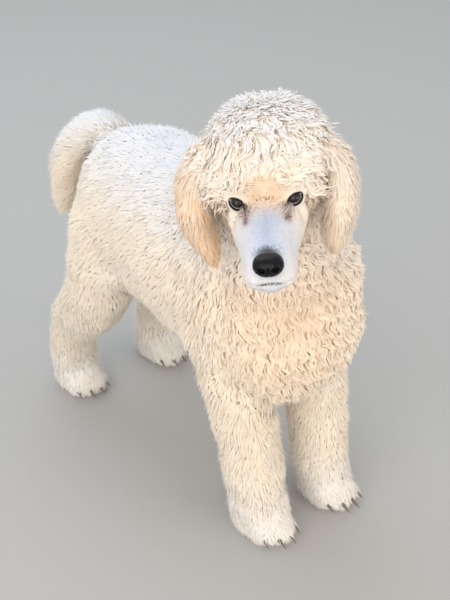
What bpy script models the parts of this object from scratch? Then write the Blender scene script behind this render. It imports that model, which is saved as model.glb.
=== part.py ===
"""A standard poodle puppy, standing, modelled life-size to the tips of its coat.

The flesh and its coat are shaped as one body from lofts and balls, melted together with a voxel
remesh, and then parted by thin cuts into the pieces that a person would name. Eyes, nose leather,
ears and claws are separate solids, each in a pocket that clears it. Metres, +Z up; the puppy faces
-Y, its left side is +X, and it stands on Z = 0.
"""

import math

import bmesh
import bpy
from mathutils import Matrix, Vector, noise

# Driving sizes, in metres. Heights and widths are taken over the coat.
WITHERS_HEIGHT = 0.435
FORE_LEG_X = {1: 0.060, -1: -0.043}
FORE_PAW_Y = {1: -0.152, -1: -0.156}
HIND_STANCE = 0.070
HIND_PAW_Y = 0.246

# The head: where the point midway between the eyes is, and how the head is turned, in degrees.
EYE_MIDPOINT = Vector((-0.1015, -0.2343, 0.4788))
HEAD_YAW = -38.0
HEAD_PITCH = 6.0
HEAD_ROLL = 6.0
EYE_SPACING = 0.052
EYE_RADIUS = 0.0092
NOSE_WIDTH = 0.028

# The gap kept between neighbouring solids, and how finely the shapes are melted together.
PART_GAP = 0.0004
VOXEL = 0.0042
RING_POINTS = 20

# How far the fluffy coat rises and falls, and how wide its clumps are.
RELIEF = 0.0042
RELIEF_WIDTH = 0.024

# Where the body is parted: (name, point on the cut, which way the cut faces, radius).
CUTS = (
    ("head", (-0.052, -0.159, 0.435), (-0.25, -0.52, 0.81), 0.110),
    ("neck", (-0.006, -0.112, 0.400), (-0.25, -0.60, 0.76), 0.152),
    ("foreleg_left", (0.066, -0.118, 0.160), (0, 0.1, 1), 0.064),
    ("foreleg_right", (-0.050, -0.122, 0.160), (0, 0.1, 1), 0.064),
    ("fore_paw_left", (0.060, -0.146, 0.040), (0, 0, 1), 0.058),
    ("fore_paw_right", (-0.043, -0.150, 0.040), (0, 0, 1), 0.058),
    ("thigh_left", (0.076, 0.160, 0.222), (-0.42, 0, 0.90), 0.082),
    ("thigh_right", (-0.076, 0.160, 0.222), (0.42, 0, 0.90), 0.082),
    ("shank_left", (0.075, 0.226, 0.128), (0, -0.5, 0.87), 0.062),
    ("shank_right", (-0.075, 0.226, 0.128), (0, -0.5, 0.87), 0.062),
    ("hind_paw_left", (0.072, 0.254, 0.040), (0, 0, 1), 0.060),
    ("hind_paw_right", (-0.072, 0.254, 0.040), (0, 0, 1), 0.060),
)

# A point inside each piece that the cuts leave.
LANDMARKS = {
    "trunk": (0, 0.020, 0.300),
    "head": (-0.068, -0.190, 0.490),
    "neck": (-0.030, -0.136, 0.425),
    "foreleg_left": (0.062, -0.135, 0.100),
    "foreleg_right": (-0.045, -0.139, 0.100),
    "fore_paw_left": (0.060, -0.156, 0.016),
    "fore_paw_right": (-0.043, -0.160, 0.016),
    "thigh_left": (0.076, 0.196, 0.170),
    "thigh_right": (-0.076, 0.196, 0.170),
    "shank_left": (0.074, 0.250, 0.080),
    "shank_right": (-0.074, 0.250, 0.080),
    "hind_paw_left": (0.072, 0.242, 0.016),
    "hind_paw_right": (-0.072, 0.242, 0.016),
}

# Triangles given to each melted shape before it is cut.
FLESH_TRIANGLES = 4050
EAR_TRIANGLES = 300
TAIL_TRIANGLES = 280

COAT = (0.86, 0.80, 0.68, 1.0)
EAR_COAT = (0.82, 0.62, 0.42, 1.0)
FACE_COAT = (0.88, 0.85, 0.80, 1.0)
BLACK_LEATHER = (0.015, 0.014, 0.016, 1.0)
EYE_BROWN = (0.03, 0.018, 0.012, 1.0)
CLAW_HORN = (0.10, 0.085, 0.075, 1.0)


def clear_scene():
    for obj in list(bpy.data.objects):
        bpy.data.objects.remove(obj, do_unlink=True)


def collection(name):
    made = bpy.data.collections.new(name)
    bpy.context.scene.collection.children.link(made)
    return made


def material(name, colour, roughness):
    made = bpy.data.materials.new(name)
    made.use_nodes = True
    shader = made.node_tree.nodes["Principled BSDF"]
    shader.inputs["Base Color"].default_value = colour
    shader.inputs["Roughness"].default_value = roughness
    return made


def head_frame():
    """Head axes to world: X is the puppy's left, Y runs backwards from the face, Z is up."""
    turn = Matrix.Rotation(math.radians(HEAD_YAW), 4, "Z")
    nod = Matrix.Rotation(math.radians(-HEAD_PITCH), 4, "X")
    tilt = Matrix.Rotation(math.radians(-HEAD_ROLL), 4, "Y")
    return Matrix.Translation(EYE_MIDPOINT) @ turn @ nod @ tilt


def new_object(name, mesh, group):
    obj = bpy.data.objects.new(name, mesh)
    group.objects.link(obj)
    return obj


def smooth_path(stations, steps):
    """Catmull-Rom points through stations of (position, half width, half depth)."""
    flat = [Vector((*s[0], 0.0)).to_3d() for s in stations]
    sizes = [Vector((s[1], s[2], 0.0)) for s in stations]

    def blend(values, i, t):
        a, b = values[max(i - 1, 0)], values[i]
        c, d = values[i + 1], values[min(i + 2, len(values) - 1)]
        return 0.5 * (
            2 * b + (c - a) * t + (2 * a - 5 * b + 4 * c - d) * t * t + (3 * b - a - 3 * c + d) * t**3
        )

    made = []
    for i in range(len(stations) - 1):
        for k in range(steps):
            made.append((blend(flat, i, k / steps), blend(sizes, i, k / steps)))
    made.append((flat[-1], sizes[-1]))
    return made


def loft(bm, stations, side=Vector((1, 0, 0)), steps=4, matrix=None, points=RING_POINTS):
    """Adds a closed tube of elliptical rings to bm. side is the way the half width is measured."""
    path = smooth_path(stations, steps)
    rings = []
    for i, (centre, size) in enumerate(path):
        ahead = path[min(i + 1, len(path) - 1)][0] - path[max(i - 1, 0)][0]
        across = (side - ahead * (side.dot(ahead) / ahead.length_squared)).normalized()
        upright = ahead.cross(across).normalized()
        ring = []
        for k in range(points):
            angle = 2 * math.pi * k / points
            point = centre + across * size.x * math.cos(angle) + upright * size.y * math.sin(angle)
            ring.append(bm.verts.new(matrix @ point if matrix else point))
        rings.append(ring)
    for low, high in zip(rings, rings[1:]):
        for k in range(points):
            nxt = (k + 1) % points
            bm.faces.new((low[k], low[nxt], high[nxt], high[k]))
    bm.faces.new(list(reversed(rings[0])))
    bm.faces.new(rings[-1])


def ball(bm, centre, radii, matrix=None, segments=14, rings=8):
    place = Matrix.Translation(centre) @ Matrix.Diagonal((*radii, 1.0))
    bmesh.ops.create_uvsphere(
        bm, u_segments=segments, v_segments=rings, radius=1.0, matrix=matrix @ place if matrix else place
    )


def trunk(bm):
    loft(bm, [
        ((0, -0.205, 0.298), 0.055, 0.055),
        ((0, -0.165, 0.303), 0.090, 0.100),
        ((0, -0.105, 0.308), 0.099, WITHERS_HEIGHT - 0.308),
        ((0, -0.035, 0.308), 0.107, 0.121),
        ((0, 0.040, 0.306), 0.105, 0.112),
        ((0, 0.105, 0.308), 0.101, 0.105),
        ((0, 0.155, 0.312), 0.096, 0.098),
        ((0, 0.190, 0.307), 0.080, 0.077),
        ((0, 0.212, 0.300), 0.046, 0.046),
    ])
    ball(bm, (0, -0.150, 0.272), (0.093, 0.075, 0.095))
    for side in (1, -1):
        ball(bm, (side * 0.055, -0.100, 0.285), (0.049, 0.070, 0.105))


def neck(bm):
    loft(bm, [
        ((0, -0.060, 0.335), 0.088, 0.100),
        ((-0.010, -0.105, 0.398), 0.084, 0.093),
        ((-0.032, -0.140, 0.450), 0.074, 0.077),
        ((-0.050, -0.163, 0.490), 0.062, 0.060),
    ])
    ball(bm, (-0.022, -0.168, 0.372), (0.074, 0.052, 0.066))


def tail(bm):
    loft(bm, [
        ((0.003, 0.172, 0.345), 0.024, 0.024),
        ((0.001, 0.208, 0.374), 0.028, 0.028),
        ((-0.018, 0.242, 0.380), 0.029, 0.029),
        ((-0.041, 0.262, 0.350), 0.029, 0.029),
        ((-0.053, 0.266, 0.309), 0.025, 0.025),
        ((-0.058, 0.262, 0.266), 0.012, 0.012),
    ])


TOE_ROWS = ((-1.5, -0.026), (-0.5, -0.038), (0.5, -0.038), (1.5, -0.026))
TOE_SPREAD = 0.0155


def toes(bm, x, y):
    for row, ahead in TOE_ROWS:
        ball(bm, (x + row * TOE_SPREAD, y + ahead, 0.013), (0.0105, 0.017, 0.0145), segments=12, rings=8)


def claw(bm, x, y, row, ahead, grow):
    """A short blunt claw curving down from the top of one toe; grow swells it for its pocket."""
    start = Vector((x + row * TOE_SPREAD, y + ahead, 0))
    loft(bm, [
        (start + Vector((0, -0.0060 + grow, 0.0125)), 0.0022 + grow, 0.0026 + grow),
        (start + Vector((0, -0.0140, 0.0122)), 0.0022 + grow, 0.0026 + grow),
        (start + Vector((0, -0.0190, 0.0098)), 0.0016 + grow, 0.0019 + grow),
        (start + Vector((0, -0.0215 - grow, 0.0070)), 0.0007 + grow, 0.0008 + grow),
    ], steps=1, points=6)


def foreleg(bm, side):
    x = FORE_LEG_X[side]
    y = FORE_PAW_Y[side]
    loft(bm, [
        ((x + side * 0.003, y + 0.052, 0.245), 0.044, 0.058),
        ((x + side * 0.004, y + 0.040, 0.185), 0.042, 0.050),
        ((x + side * 0.002, y + 0.024, 0.125), 0.039, 0.042),
        ((x, y + 0.014, 0.070), 0.0370, 0.040),
        ((x, y + 0.006, 0.030), 0.0350, 0.039),
        ((x, y, -0.010), 0.032, 0.038),
    ])
    ball(bm, (x, y - 0.004, 0.018), (0.034, 0.046, 0.026))
    toes(bm, x, y)


def hind_leg(bm, side):
    x = HIND_STANCE * side
    y = HIND_PAW_Y
    loft(bm, [
        ((x - side * 0.014, 0.142, 0.305), 0.050, 0.064),
        ((x - side * 0.003, 0.146, 0.255), 0.047, 0.058),
        ((x + side * 0.003, 0.161, 0.200), 0.044, 0.051),
        ((x + side * 0.004, 0.197, 0.152), 0.040, 0.044),
        ((x + side * 0.003, 0.234, 0.115), 0.036, 0.039),
        ((x + side * 0.002, 0.252, 0.070), 0.0345, 0.036),
        ((x, y + 0.010, 0.030), 0.0345, 0.038),
        ((x, y, -0.010), 0.032, 0.038),
    ])
    ball(bm, (x, y - 0.004, 0.018), (0.033, 0.046, 0.026))
    toes(bm, x, y)


def skull(bm, head):
    loft(bm, [
        ((0, -0.086, -0.035), 0.0150, 0.0120),
        ((0, -0.079, -0.0365), 0.0220, 0.0190),
        ((0, -0.062, -0.0355), 0.0260, 0.0235),
        ((0, -0.040, -0.0325), 0.0270, 0.0245),
        ((0, -0.015, -0.0275), 0.0310, 0.0275),
        ((0, 0.010, -0.0200), 0.0380, 0.0350),
        ((0, 0.040, -0.0100), 0.0450, 0.0430),
        ((0, 0.075, 0.000), 0.0450, 0.0450),
    ], matrix=head)
    ball(bm, (0, -0.066, -0.056), (0.0150, 0.020, 0.0095), matrix=head)
    ball(bm, (0.004, 0.055, 0.038), (0.066, 0.068, 0.051), matrix=head)
    for side in (1, -1):
        ball(bm, (side * 0.013, -0.062, -0.046), (0.0140, 0.026, 0.0130), matrix=head)
        ball(bm, (side * 0.030, 0.014, 0.030), (0.030, 0.028, 0.022), matrix=head)
        ball(bm, (side * 0.050, 0.060, 0.012), (0.026, 0.035, 0.038), matrix=head)


def ear(bm, head, side):
    loft(bm, [
        ((side * 0.054, 0.046, 0.042), 0.015, 0.020),
        ((side * 0.067, 0.047, 0.016), 0.020, 0.031),
        ((side * 0.070, 0.045, -0.016), 0.021, 0.036),
        ((side * 0.067, 0.041, -0.040), 0.018, 0.032),
        ((side * 0.061, 0.033, -0.057), 0.013, 0.023),
        ((side * 0.057, 0.026, -0.067), 0.006, 0.011),
    ], matrix=head)


def nose(bm, head):
    ball(bm, (0, -0.085, -0.0295), (NOSE_WIDTH / 2, 0.011, 0.0105), matrix=head)


def is_bare(point, head_inverse):
    """How smooth the coat is at a point: 1 on the clipped muzzle and cheeks, 0 on the fluffy body."""
    local = head_inverse @ point
    reach = (Vector((local.x, local.y + 0.045, local.z + 0.034))).length
    return min(1.0, max(0.0, (0.075 - reach) / 0.020))


def evaluated_mesh(obj):
    bpy.context.view_layer.update()
    return bpy.data.meshes.new_from_object(obj.evaluated_get(bpy.context.evaluated_depsgraph_get()))


def mesh_from(bm, name):
    bmesh.ops.recalc_face_normals(bm, faces=bm.faces)
    mesh = bpy.data.meshes.new(name)
    bm.to_mesh(mesh)
    bm.free()
    return mesh


def apply(obj):
    """Replaces an object's mesh by what its modifiers make of it."""
    baked = evaluated_mesh(obj)
    obj.modifiers.clear()
    old = obj.data
    obj.data = baked
    bpy.data.meshes.remove(old)


def melted(name, bm, group, voxel, triangles, head_inverse):
    """Melts overlapping shapes into one fluffy closed mesh of about that many triangles."""
    obj = new_object(name, mesh_from(bm, name), group)
    remesh = obj.modifiers.new("melt", "REMESH")
    remesh.mode = "VOXEL"
    remesh.voxel_size = voxel
    soften = obj.modifiers.new("soften", "SMOOTH")
    soften.factor = 0.5
    soften.iterations = 8
    apply(obj)
    mesh = obj.data
    normals = [v.normal.copy() for v in mesh.vertices]
    for vertex, normal in zip(mesh.vertices, normals):
        rise = noise.noise(vertex.co / RELIEF_WIDTH) + 0.4 * noise.noise(vertex.co / (0.45 * RELIEF_WIDTH))
        vertex.co += normal * RELIEF * rise * (1.0 - is_bare(vertex.co, head_inverse))
    thin = obj.modifiers.new("thin", "DECIMATE")
    thin.ratio = min(1.0, triangles / sum(len(p.vertices) - 2 for p in mesh.polygons))
    apply(obj)
    return obj


def swollen(obj, name, group, amount):
    """A copy of a solid grown by amount along its normals, to cut the pocket it sits in."""
    mesh = obj.data.copy()
    normals = [v.normal.copy() for v in mesh.vertices]
    for vertex, normal in zip(mesh.vertices, normals):
        vertex.co += normal * amount
    return new_object(name, mesh, group)


def subtract(obj, cutters):
    """Takes every cutter out of a solid, then clears the cutters away."""
    for cutter in cutters:
        cut = obj.modifiers.new("cut", "BOOLEAN")
        cut.operation = "DIFFERENCE"
        cut.solver = "EXACT"
        cut.object = cutter
        apply(obj)
        bpy.data.objects.remove(cutter, do_unlink=True)


def disc(name, point, facing, radius, group):
    bm = bmesh.new()
    turn = Vector(facing).to_track_quat("Z", "Y").to_matrix().to_4x4()
    bmesh.ops.create_cone(
        bm, cap_ends=True, segments=24, radius1=radius, radius2=radius, depth=PART_GAP,
        matrix=Matrix.Translation(point) @ turn,
    )
    return new_object(name, mesh_from(bm, name), group)


def below_floor(group):
    bm = bmesh.new()
    bmesh.ops.create_cube(bm, size=1.0, matrix=Matrix.Translation((0, 0, -0.5)) @ Matrix.Diagonal((2, 2, 1, 1)))
    return new_object("below_floor", mesh_from(bm, "below_floor"), group)


def islands(bm):
    """The separate closed bodies in a mesh, each as a list of faces."""
    left = set(bm.faces)
    while left:
        body = [left.pop()]
        for face in body:
            for edge in face.edges:
                for other in edge.link_faces:
                    if other in left:
                        left.remove(other)
                        body.append(other)
        yield body


def parted(flesh, group):
    """Parts the cut flesh into one object for each landmark and returns them by name."""
    source = bmesh.new()
    source.from_mesh(flesh.data)
    made = {}
    for body in islands(source):
        bm = bmesh.new()
        copies = {}
        for face in sorted(body, key=lambda f: f.index):
            for vertex in face.verts:
                if vertex not in copies:
                    copies[vertex] = bm.verts.new(vertex.co)
            bm.faces.new([copies[v] for v in face.verts])
        volume = abs(bm.calc_volume())
        if volume < 1e-7:
            bm.free()
            continue
        middle = sum((v.co for v in bm.verts), Vector()) / len(bm.verts)
        name = min(LANDMARKS, key=lambda n: (Vector(LANDMARKS[n]) - middle).length)
        if name in made:
            raise RuntimeError(f"two pieces are both nearest to {name}")
        made[name] = new_object(name, mesh_from(bm, name), group)
    missing = set(LANDMARKS) - set(made)
    if missing:
        raise RuntimeError(f"no piece for {sorted(missing)}")
    source.free()
    bpy.data.objects.remove(flesh, do_unlink=True)
    return made


def tidy(obj):
    """Triangulates a solid and drops slivers the cuts left."""
    bm = bmesh.new()
    bm.from_mesh(obj.data)
    bmesh.ops.dissolve_degenerate(bm, dist=0.00002, edges=bm.edges)
    bmesh.ops.triangulate(bm, faces=bm.faces)
    bmesh.ops.recalc_face_normals(bm, faces=bm.faces)
    bm.to_mesh(obj.data)
    bm.free()


def finish(name):
    """The colour and roughness of a piece."""
    kind = name.split("_")[0]
    finishes = {
        "ear": (EAR_COAT, 0.9),
        "head": (FACE_COAT, 0.9),
        "eye": (EYE_BROWN, 0.1),
        "nose": (BLACK_LEATHER, 0.3),
        "claw": (CLAW_HORN, 0.4),
    }
    return finishes.get(kind, (COAT, 0.9))


def main():
    clear_scene()
    solids = collection("standard_poodle")
    cutters = collection("cutters")
    head = head_frame()
    head_inverse = head.inverted()

    bm = bmesh.new()
    trunk(bm)
    neck(bm)
    for side in (1, -1):
        foreleg(bm, side)
        hind_leg(bm, side)
    skull(bm, head)
    flesh = melted("flesh", bm, solids, VOXEL, FLESH_TRIANGLES, head_inverse)

    bm = bmesh.new()
    tail(bm)
    made = {"tail": melted("tail", bm, solids, 0.003, TAIL_TRIANGLES, head_inverse)}
    for name, side in (("left", 1), ("right", -1)):
        bm = bmesh.new()
        ear(bm, head, side)
        made[f"ear_{name}"] = melted(f"ear_{name}", bm, solids, 0.003, EAR_TRIANGLES, head_inverse)
        bm = bmesh.new()
        ball(bm, (side * EYE_SPACING / 2, 0.004, 0), (EYE_RADIUS,) * 3, matrix=head)
        made[f"eye_{name}"] = new_object(f"eye_{name}", mesh_from(bm, f"eye_{name}"), solids)
    bm = bmesh.new()
    nose(bm, head)
    made["nose"] = new_object("nose", mesh_from(bm, "nose"), solids)

    pockets = [swollen(obj, f"pocket_{name}", cutters, PART_GAP) for name, obj in made.items()]
    for name, side in (("left", 1), ("right", -1)):
        for foot, x, y in (("fore", FORE_LEG_X[side], FORE_PAW_Y[side]), ("hind", HIND_STANCE * side, HIND_PAW_Y)):
            for number, (row, ahead) in enumerate(TOE_ROWS, 1):
                title = f"claw_{foot}_{name}_{number}"
                bm = bmesh.new()
                claw(bm, x, y, row, ahead, 0.0)
                made[title] = new_object(title, mesh_from(bm, title), solids)
                bm = bmesh.new()
                claw(bm, x, y, row, ahead, PART_GAP)
                pockets.append(new_object(f"pocket_{title}", mesh_from(bm, title), cutters))
    discs = [disc(f"cut_{name}", point, facing, radius, cutters) for name, point, facing, radius in CUTS]
    subtract(flesh, pockets + [below_floor(cutters)] + discs)
    made.update(parted(flesh, solids))

    for name, obj in made.items():
        tidy(obj)
        obj.data.materials.clear()
        obj.data.materials.append(material(name, *finish(name)))
        obj.data.shade_smooth()

    # The origin goes to the floor, under the middle of the whole model.
    corners = [v.co for obj in made.values() for v in obj.data.vertices]
    shift = Vector((
        -0.5 * (min(c.x for c in corners) + max(c.x for c in corners)),
        -0.5 * (min(c.y for c in corners) + max(c.y for c in corners)),
        0.0,
    ))
    for obj in made.values():
        obj.data.transform(Matrix.Translation(shift))
    print("origin shift", [round(v, 5) for v in shift])
    print("triangles", sum(len(obj.data.polygons) for obj in made.values()), "nodes", len(made))


main()
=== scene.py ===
"""The looks of a standard poodle puppy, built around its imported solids.

One skin stands for the flesh, with lids, a nose leather, eyes and claws as pieces of their own. The
coat is solid mesh: tapered locks rooted in the skin that follow the lie of the hair.

Sizes are in metres and angles in radians where no comment says otherwise. Head axes start between the
eyes: X is the puppy's left, Y runs backwards from the face and Z is up.
"""

import math
from typing import NamedTuple

import bmesh
import bpy
import numpy as np
from bpy.props import FloatProperty, FloatVectorProperty, IntProperty, PointerProperty
from mathutils import Matrix, Vector, noise
from mathutils.bvhtree import BVHTree
from mathutils.kdtree import KDTree


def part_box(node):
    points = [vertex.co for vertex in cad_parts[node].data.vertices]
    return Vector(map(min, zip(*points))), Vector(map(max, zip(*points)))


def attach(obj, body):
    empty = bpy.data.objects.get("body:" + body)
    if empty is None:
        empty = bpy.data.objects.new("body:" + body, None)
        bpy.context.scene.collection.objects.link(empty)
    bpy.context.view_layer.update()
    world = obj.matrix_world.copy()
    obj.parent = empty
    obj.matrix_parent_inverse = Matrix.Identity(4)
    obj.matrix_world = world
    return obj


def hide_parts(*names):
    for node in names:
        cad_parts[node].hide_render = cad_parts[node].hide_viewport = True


bl_info = {
    "name": "Poodle Puppy Looks",
    "version": (1, 0, 0),
    "blender": (4, 5, 0),
    "location": "3D View > Sidebar > Poodle",
    "description": "Skin, eyes, nose, claws and coat of a standing poodle puppy",
    "category": "Object",
}

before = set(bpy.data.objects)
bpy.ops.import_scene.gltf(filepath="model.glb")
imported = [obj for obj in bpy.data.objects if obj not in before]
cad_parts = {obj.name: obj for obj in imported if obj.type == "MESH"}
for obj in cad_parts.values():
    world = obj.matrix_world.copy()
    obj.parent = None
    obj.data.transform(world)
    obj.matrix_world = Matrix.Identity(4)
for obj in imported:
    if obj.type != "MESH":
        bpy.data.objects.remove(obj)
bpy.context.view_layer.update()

SIDES = ("left", "right")


def both(kind):
    return tuple(f"{kind}_{side}" for side in SIDES)


LEG_NODES = both("foreleg") + both("fore_paw") + both("thigh") + both("shank") + both("hind_paw")
BODY_NODES = ("trunk", "neck", "tail") + LEG_NODES
EAR_NODES = both("ear")
FLESH_NODES = BODY_NODES + ("head",) + EAR_NODES
CLAW_NODES = tuple(name for name in sorted(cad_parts) if name.startswith("claw"))

# How the head is turned from the trunk, in degrees.
HEAD_YAW, HEAD_PITCH, HEAD_ROLL = -38.0, 6.0, 6.0
# How far the centres of the eyes lie behind the origin of the head axes.
EYE_CENTRE_Y = 0.004
EYE_RADIUS = 0.0092
# Which way an eye looks out of its lids, on the left side, in head axes.
LOOK = (0.22, -0.95, 0.12)
# Half sizes of the lids' opening, as angles on the eyeball: along it, above and below.
LIDS_WIDE, LIDS_ABOVE, LIDS_BELOW = 0.80, 0.43, 0.38

# How far the skin lies below the tips of the coat.
COAT_DEPTH = {
    "trunk": 0.0044, "neck": 0.0084, "tail": 0.0070, "thigh": 0.0045, "shank": 0.0044,
    "foreleg": 0.0044, "fore_paw": 0.0040, "hind_paw": 0.0040, "head": 0.0100, "ear": 0.0044,
}
FACE_DEPTH = 0.0026
CHEEK_BACK_DEPTH = 0.013

# How far each solid swells to meet its neighbours, and the voxels that melt the solids, and then all
# forms of the skin, into one.
SWELL = 0.0009
COARSE_VOXEL = 0.0036
SKIN_VOXEL = 0.0032

# Forms of the face under its short fur, in head axes: stations along the muzzle, as centre, half width
# and half height, and balls, as centre and radii.
MUZZLE = (
    ((0, -0.084, -0.0350), 0.0145, 0.0115),
    ((0, -0.078, -0.0365), 0.0208, 0.0178),
    ((0, -0.062, -0.0355), 0.0246, 0.0221),
    ((0, -0.040, -0.0325), 0.0266, 0.0231),
    ((0, -0.015, -0.0275), 0.0322, 0.0261),
    ((0, 0.010, -0.0200), 0.0368, 0.0335),
    ((0, 0.040, -0.0100), 0.0365, 0.0390),
    ((0, 0.075, 0.0000), 0.0370, 0.0400),
)
CHIN = ((0, -0.065, -0.0530), (0.0138, 0.0185, 0.0078))
SKULL = ((0, 0.045, 0.020), (0.050, 0.056, 0.040))
LIP = ((0.0125, -0.062, -0.0455), (0.0130, 0.0245, 0.0120))
BROW = ((0.024, 0.016, 0.012), (0.022, 0.022, 0.018))
CHEEK = ((0.024, 0.016, -0.018), (0.0145, 0.032, 0.018))
TEMPLE = ((0.054, 0.046, 0.034), (0.014, 0.020, 0.014))
MUZZLE_MIDDLE = (0, -0.045, -0.034)

# Soft balls that place markings, short fur and the lie of the coat, as centre and radii. CHEST is in the
# model's axes and the others in head axes, where a ball beside the middle stands for one on each side.
CHEST = ((-0.02, -0.20, 0.30), (0.09, 0.10, 0.13))
SHORT_BETWEEN_EYES = ((0, -0.010, 0.010), (0.0115, 0.022, 0.025))
SHORT_ROUND_EYE = ((0.0255, -0.003, -0.004), (0.0110, 0.013, 0.0095))
LONGER_FOREHEAD = ((0, -0.006, 0.016), (0.022, 0.020, 0.020))
APRICOT_BETWEEN_EYES = ((0, -0.014, 0.010), (0.0150, 0.022, 0.026))
APRICOT_BROW = ((0.050, 0.020, 0.004), (0.012, 0.020, 0.016))
APRICOT_EAR = ((0.060, 0.018, -0.052), (0.016, 0.022, 0.045))
STAIN_AT_EYE = ((0.0190, -0.0100, -0.0046), (0.0044, 0.0056, 0.0040))
STAIN_BELOW = ((0.0188, -0.0185, -0.0085), (0.0034, 0.0070, 0.0056))
DARK_CORNER = ((0.0200, -0.0085, -0.0036), (0.0036, 0.0052, 0.0030))
THIN_CORNER = ((0.0192, -0.0105, -0.0050), (0.0050, 0.0066, 0.0046))
HOLLOW_AT_EYE = ((0.0120, -0.014, -0.006), (0.006, 0.012, 0.008))
FALL_OVER_BROW = ((0.034, 0.006, 0.022), (0.024, 0.024, 0.022))
RISE_ON_FOREHEAD = ((0, -0.006, 0.010), (0.011, 0.024, 0.020))
DENSE_CROWN = ((0, 0.055, 0.080), (0.042, 0.042, 0.036))

# Finishes that are the same all over a piece, as the values of its shader's sockets.
FUR = {"Roughness": 0.80, "Specular IOR Level": 0.15, "Sheen Weight": 0.25, "Sheen Roughness": 0.5}
WET = {"Roughness": 0.05, "Specular IOR Level": 0.25, "Coat Weight": 0.5, "Coat Roughness": 0.02}
LEATHER = {"Roughness": 0.30, "Specular IOR Level": 0.10, "Coat Weight": 0.20, "Coat Roughness": 0.16}
HORN = {"Roughness": 0.35}
PAPER = {"Roughness": 0.85}

# Lights: name, place, power as a share of the key light's, size and colour.
LIGHTS = (
    ("key_light", (-2.4, -1.6, 1.6), 1.0, 3.6, (1.0, 0.94, 0.85)),
    ("fill_light", (0.9, -2.8, 1.1), 0.36, 2.4, (1.0, 0.89, 0.74)),
    ("sky_light", (0.3, 1.5, 2.8), 0.42, 2.6, (0.74, 0.86, 1.0)),
)
LIT_POINT = (0, 0, 0.25)
STUDIO_COLOUR, STUDIO_STRENGTH = (0.96, 0.955, 0.965, 1), 0.74
FLOOR_HALF_SIZE = 14.0

# Where the camera stands from the origin of the head axes, and how far it is turned round, raised and
# rolled, in degrees.
CAMERA_FROM_EYES = (-0.5685, -0.7357, 0.4312)
CAMERA_ANGLES = (-35.3, 30.0, -0.5)


def middle(node):
    low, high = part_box(node)
    return (low + high) / 2


def head_frame():
    """The matrix from head axes to the model's axes."""
    turn = (
        Matrix.Rotation(math.radians(HEAD_YAW), 4, "Z")
        @ Matrix.Rotation(math.radians(-HEAD_PITCH), 4, "X")
        @ Matrix.Rotation(math.radians(-HEAD_ROLL), 4, "Y")
    )
    eyes = (middle("eye_left") + middle("eye_right")) / 2
    return Matrix.Translation(eyes - turn @ Vector((0, EYE_CENTRE_Y, 0))) @ turn


HEAD = head_frame()
HEAD_TURN = np.array(HEAD.to_3x3())
HEAD_PLACE = np.array(HEAD.translation)
EYE_SPACING = (middle("eye_left") - middle("eye_right")).length


def to_head(points):
    return (points - HEAD_PLACE) @ HEAD_TURN


def from_head(points):
    return points @ HEAD_TURN.T + HEAD_PLACE


def colour_property(name, description, default):
    return FloatVectorProperty(
        name=name, description=description, default=default, size=4, min=0, max=1, subtype="COLOR"
    )


def size_property(name, description, default, unit="LENGTH"):
    return FloatProperty(name=name, description=description, default=default, unit=unit)


class PoodleCoatSettings(bpy.types.PropertyGroup):
    """Colours and amount of the coat."""

    cream: colour_property("Cream", "Main colour of the coat", (0.96, 0.85, 0.70, 1))
    # White is pale and bluish; where it lies on the tops it is partly painted cool sky light.
    white: colour_property("White", "Palest coat, on the back and the feet", (0.85, 0.89, 0.96, 1))
    apricot: colour_property("Apricot", "Ears, chest and between the eyes", (0.92, 0.66, 0.43, 1))
    # Shade is painted shade: the colour the hair takes deep between the locks, towards their roots.
    shade: colour_property("Shade", "Hair deep between the locks", (0.95, 0.82, 0.66, 1))
    muzzle: colour_property("Muzzle", "Clipped fur over the skin of the muzzle", (0.58, 0.65, 0.79, 1))
    stain: colour_property("Stain", "Inner corners of the eyes", (0.17, 0.064, 0.050, 1))
    leather: colour_property("Leather", "Dark skin of lid rims and lips", (0.010, 0.009, 0.010, 1))
    amount: FloatProperty(
        name="Amount", description="Share of the locks that is grown", default=1.0, min=0.02, max=1.0,
        subtype="FACTOR",
    )
    seed: IntProperty(name="Seed", description="Seed of the locks' places and bends", default=7, min=1)


class PoodleFaceSettings(bpy.types.PropertyGroup):
    """Sizes and colours of the face's small parts and the claws."""

    rim: size_property("Lid rim", "Width of the bare dark rim of the lids", 0.0012)
    lid_tilt: size_property("Lid tilt", "Rise of the outer corners of the eyes", 0.52, "ROTATION")
    lip_depth: size_property("Lip depth", "Depth of the line between the lips", 0.0013)
    nostril_depth: size_property("Nostril depth", "Depth of the nostrils", 0.0045)
    iris: colour_property("Iris", "Colour of the iris", (0.013, 0.006, 0.004, 1))
    nose: colour_property("Nose", "Colour of the nose leather", (0.0055, 0.0050, 0.0065, 1))
    claw: colour_property("Claw", "Colour of the claws", (0.20, 0.155, 0.125, 1))


class PoodleStageSettings(bpy.types.PropertyGroup):
    """The floor, the lights and the camera."""

    floor: colour_property("Floor", "Colour of the plain floor", (0.46, 0.46, 0.45, 1))
    key: size_property("Key light", "Power of the light before the right shoulder", 71.0, "POWER")
    lens: size_property("Lens", "Focal length on a 36 mm sensor", 66.0, "CAMERA")


def modified(obj):
    """Turns an object into the mesh that its modifiers make of it, with the modifiers gone."""
    bpy.context.view_layer.update()
    mesh = bpy.data.meshes.new_from_object(obj.evaluated_get(bpy.context.evaluated_depsgraph_get()))
    obj.modifiers.clear()
    old = obj.data
    obj.data = mesh
    if not old.users:
        bpy.data.meshes.remove(old)


def new_object(name, mesh):
    obj = bpy.data.objects.new(name, mesh)
    bpy.context.scene.collection.objects.link(obj)
    return obj


def mesh_of(bm, name):
    mesh = bpy.data.meshes.new(name)
    bm.to_mesh(mesh)
    bm.free()
    return mesh


def melt(obj, voxel):
    """Melts an object's closed forms into one."""
    remesh = obj.modifiers.new("melt", "REMESH")
    remesh.mode = "VOXEL"
    remesh.voxel_size = voxel
    modified(obj)


def finished(obj, slot, *nodes):
    """Fastens a finished piece to the model and hides the solids it stands for."""
    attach(obj, "root")
    if nodes:
        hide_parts(*nodes)


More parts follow.
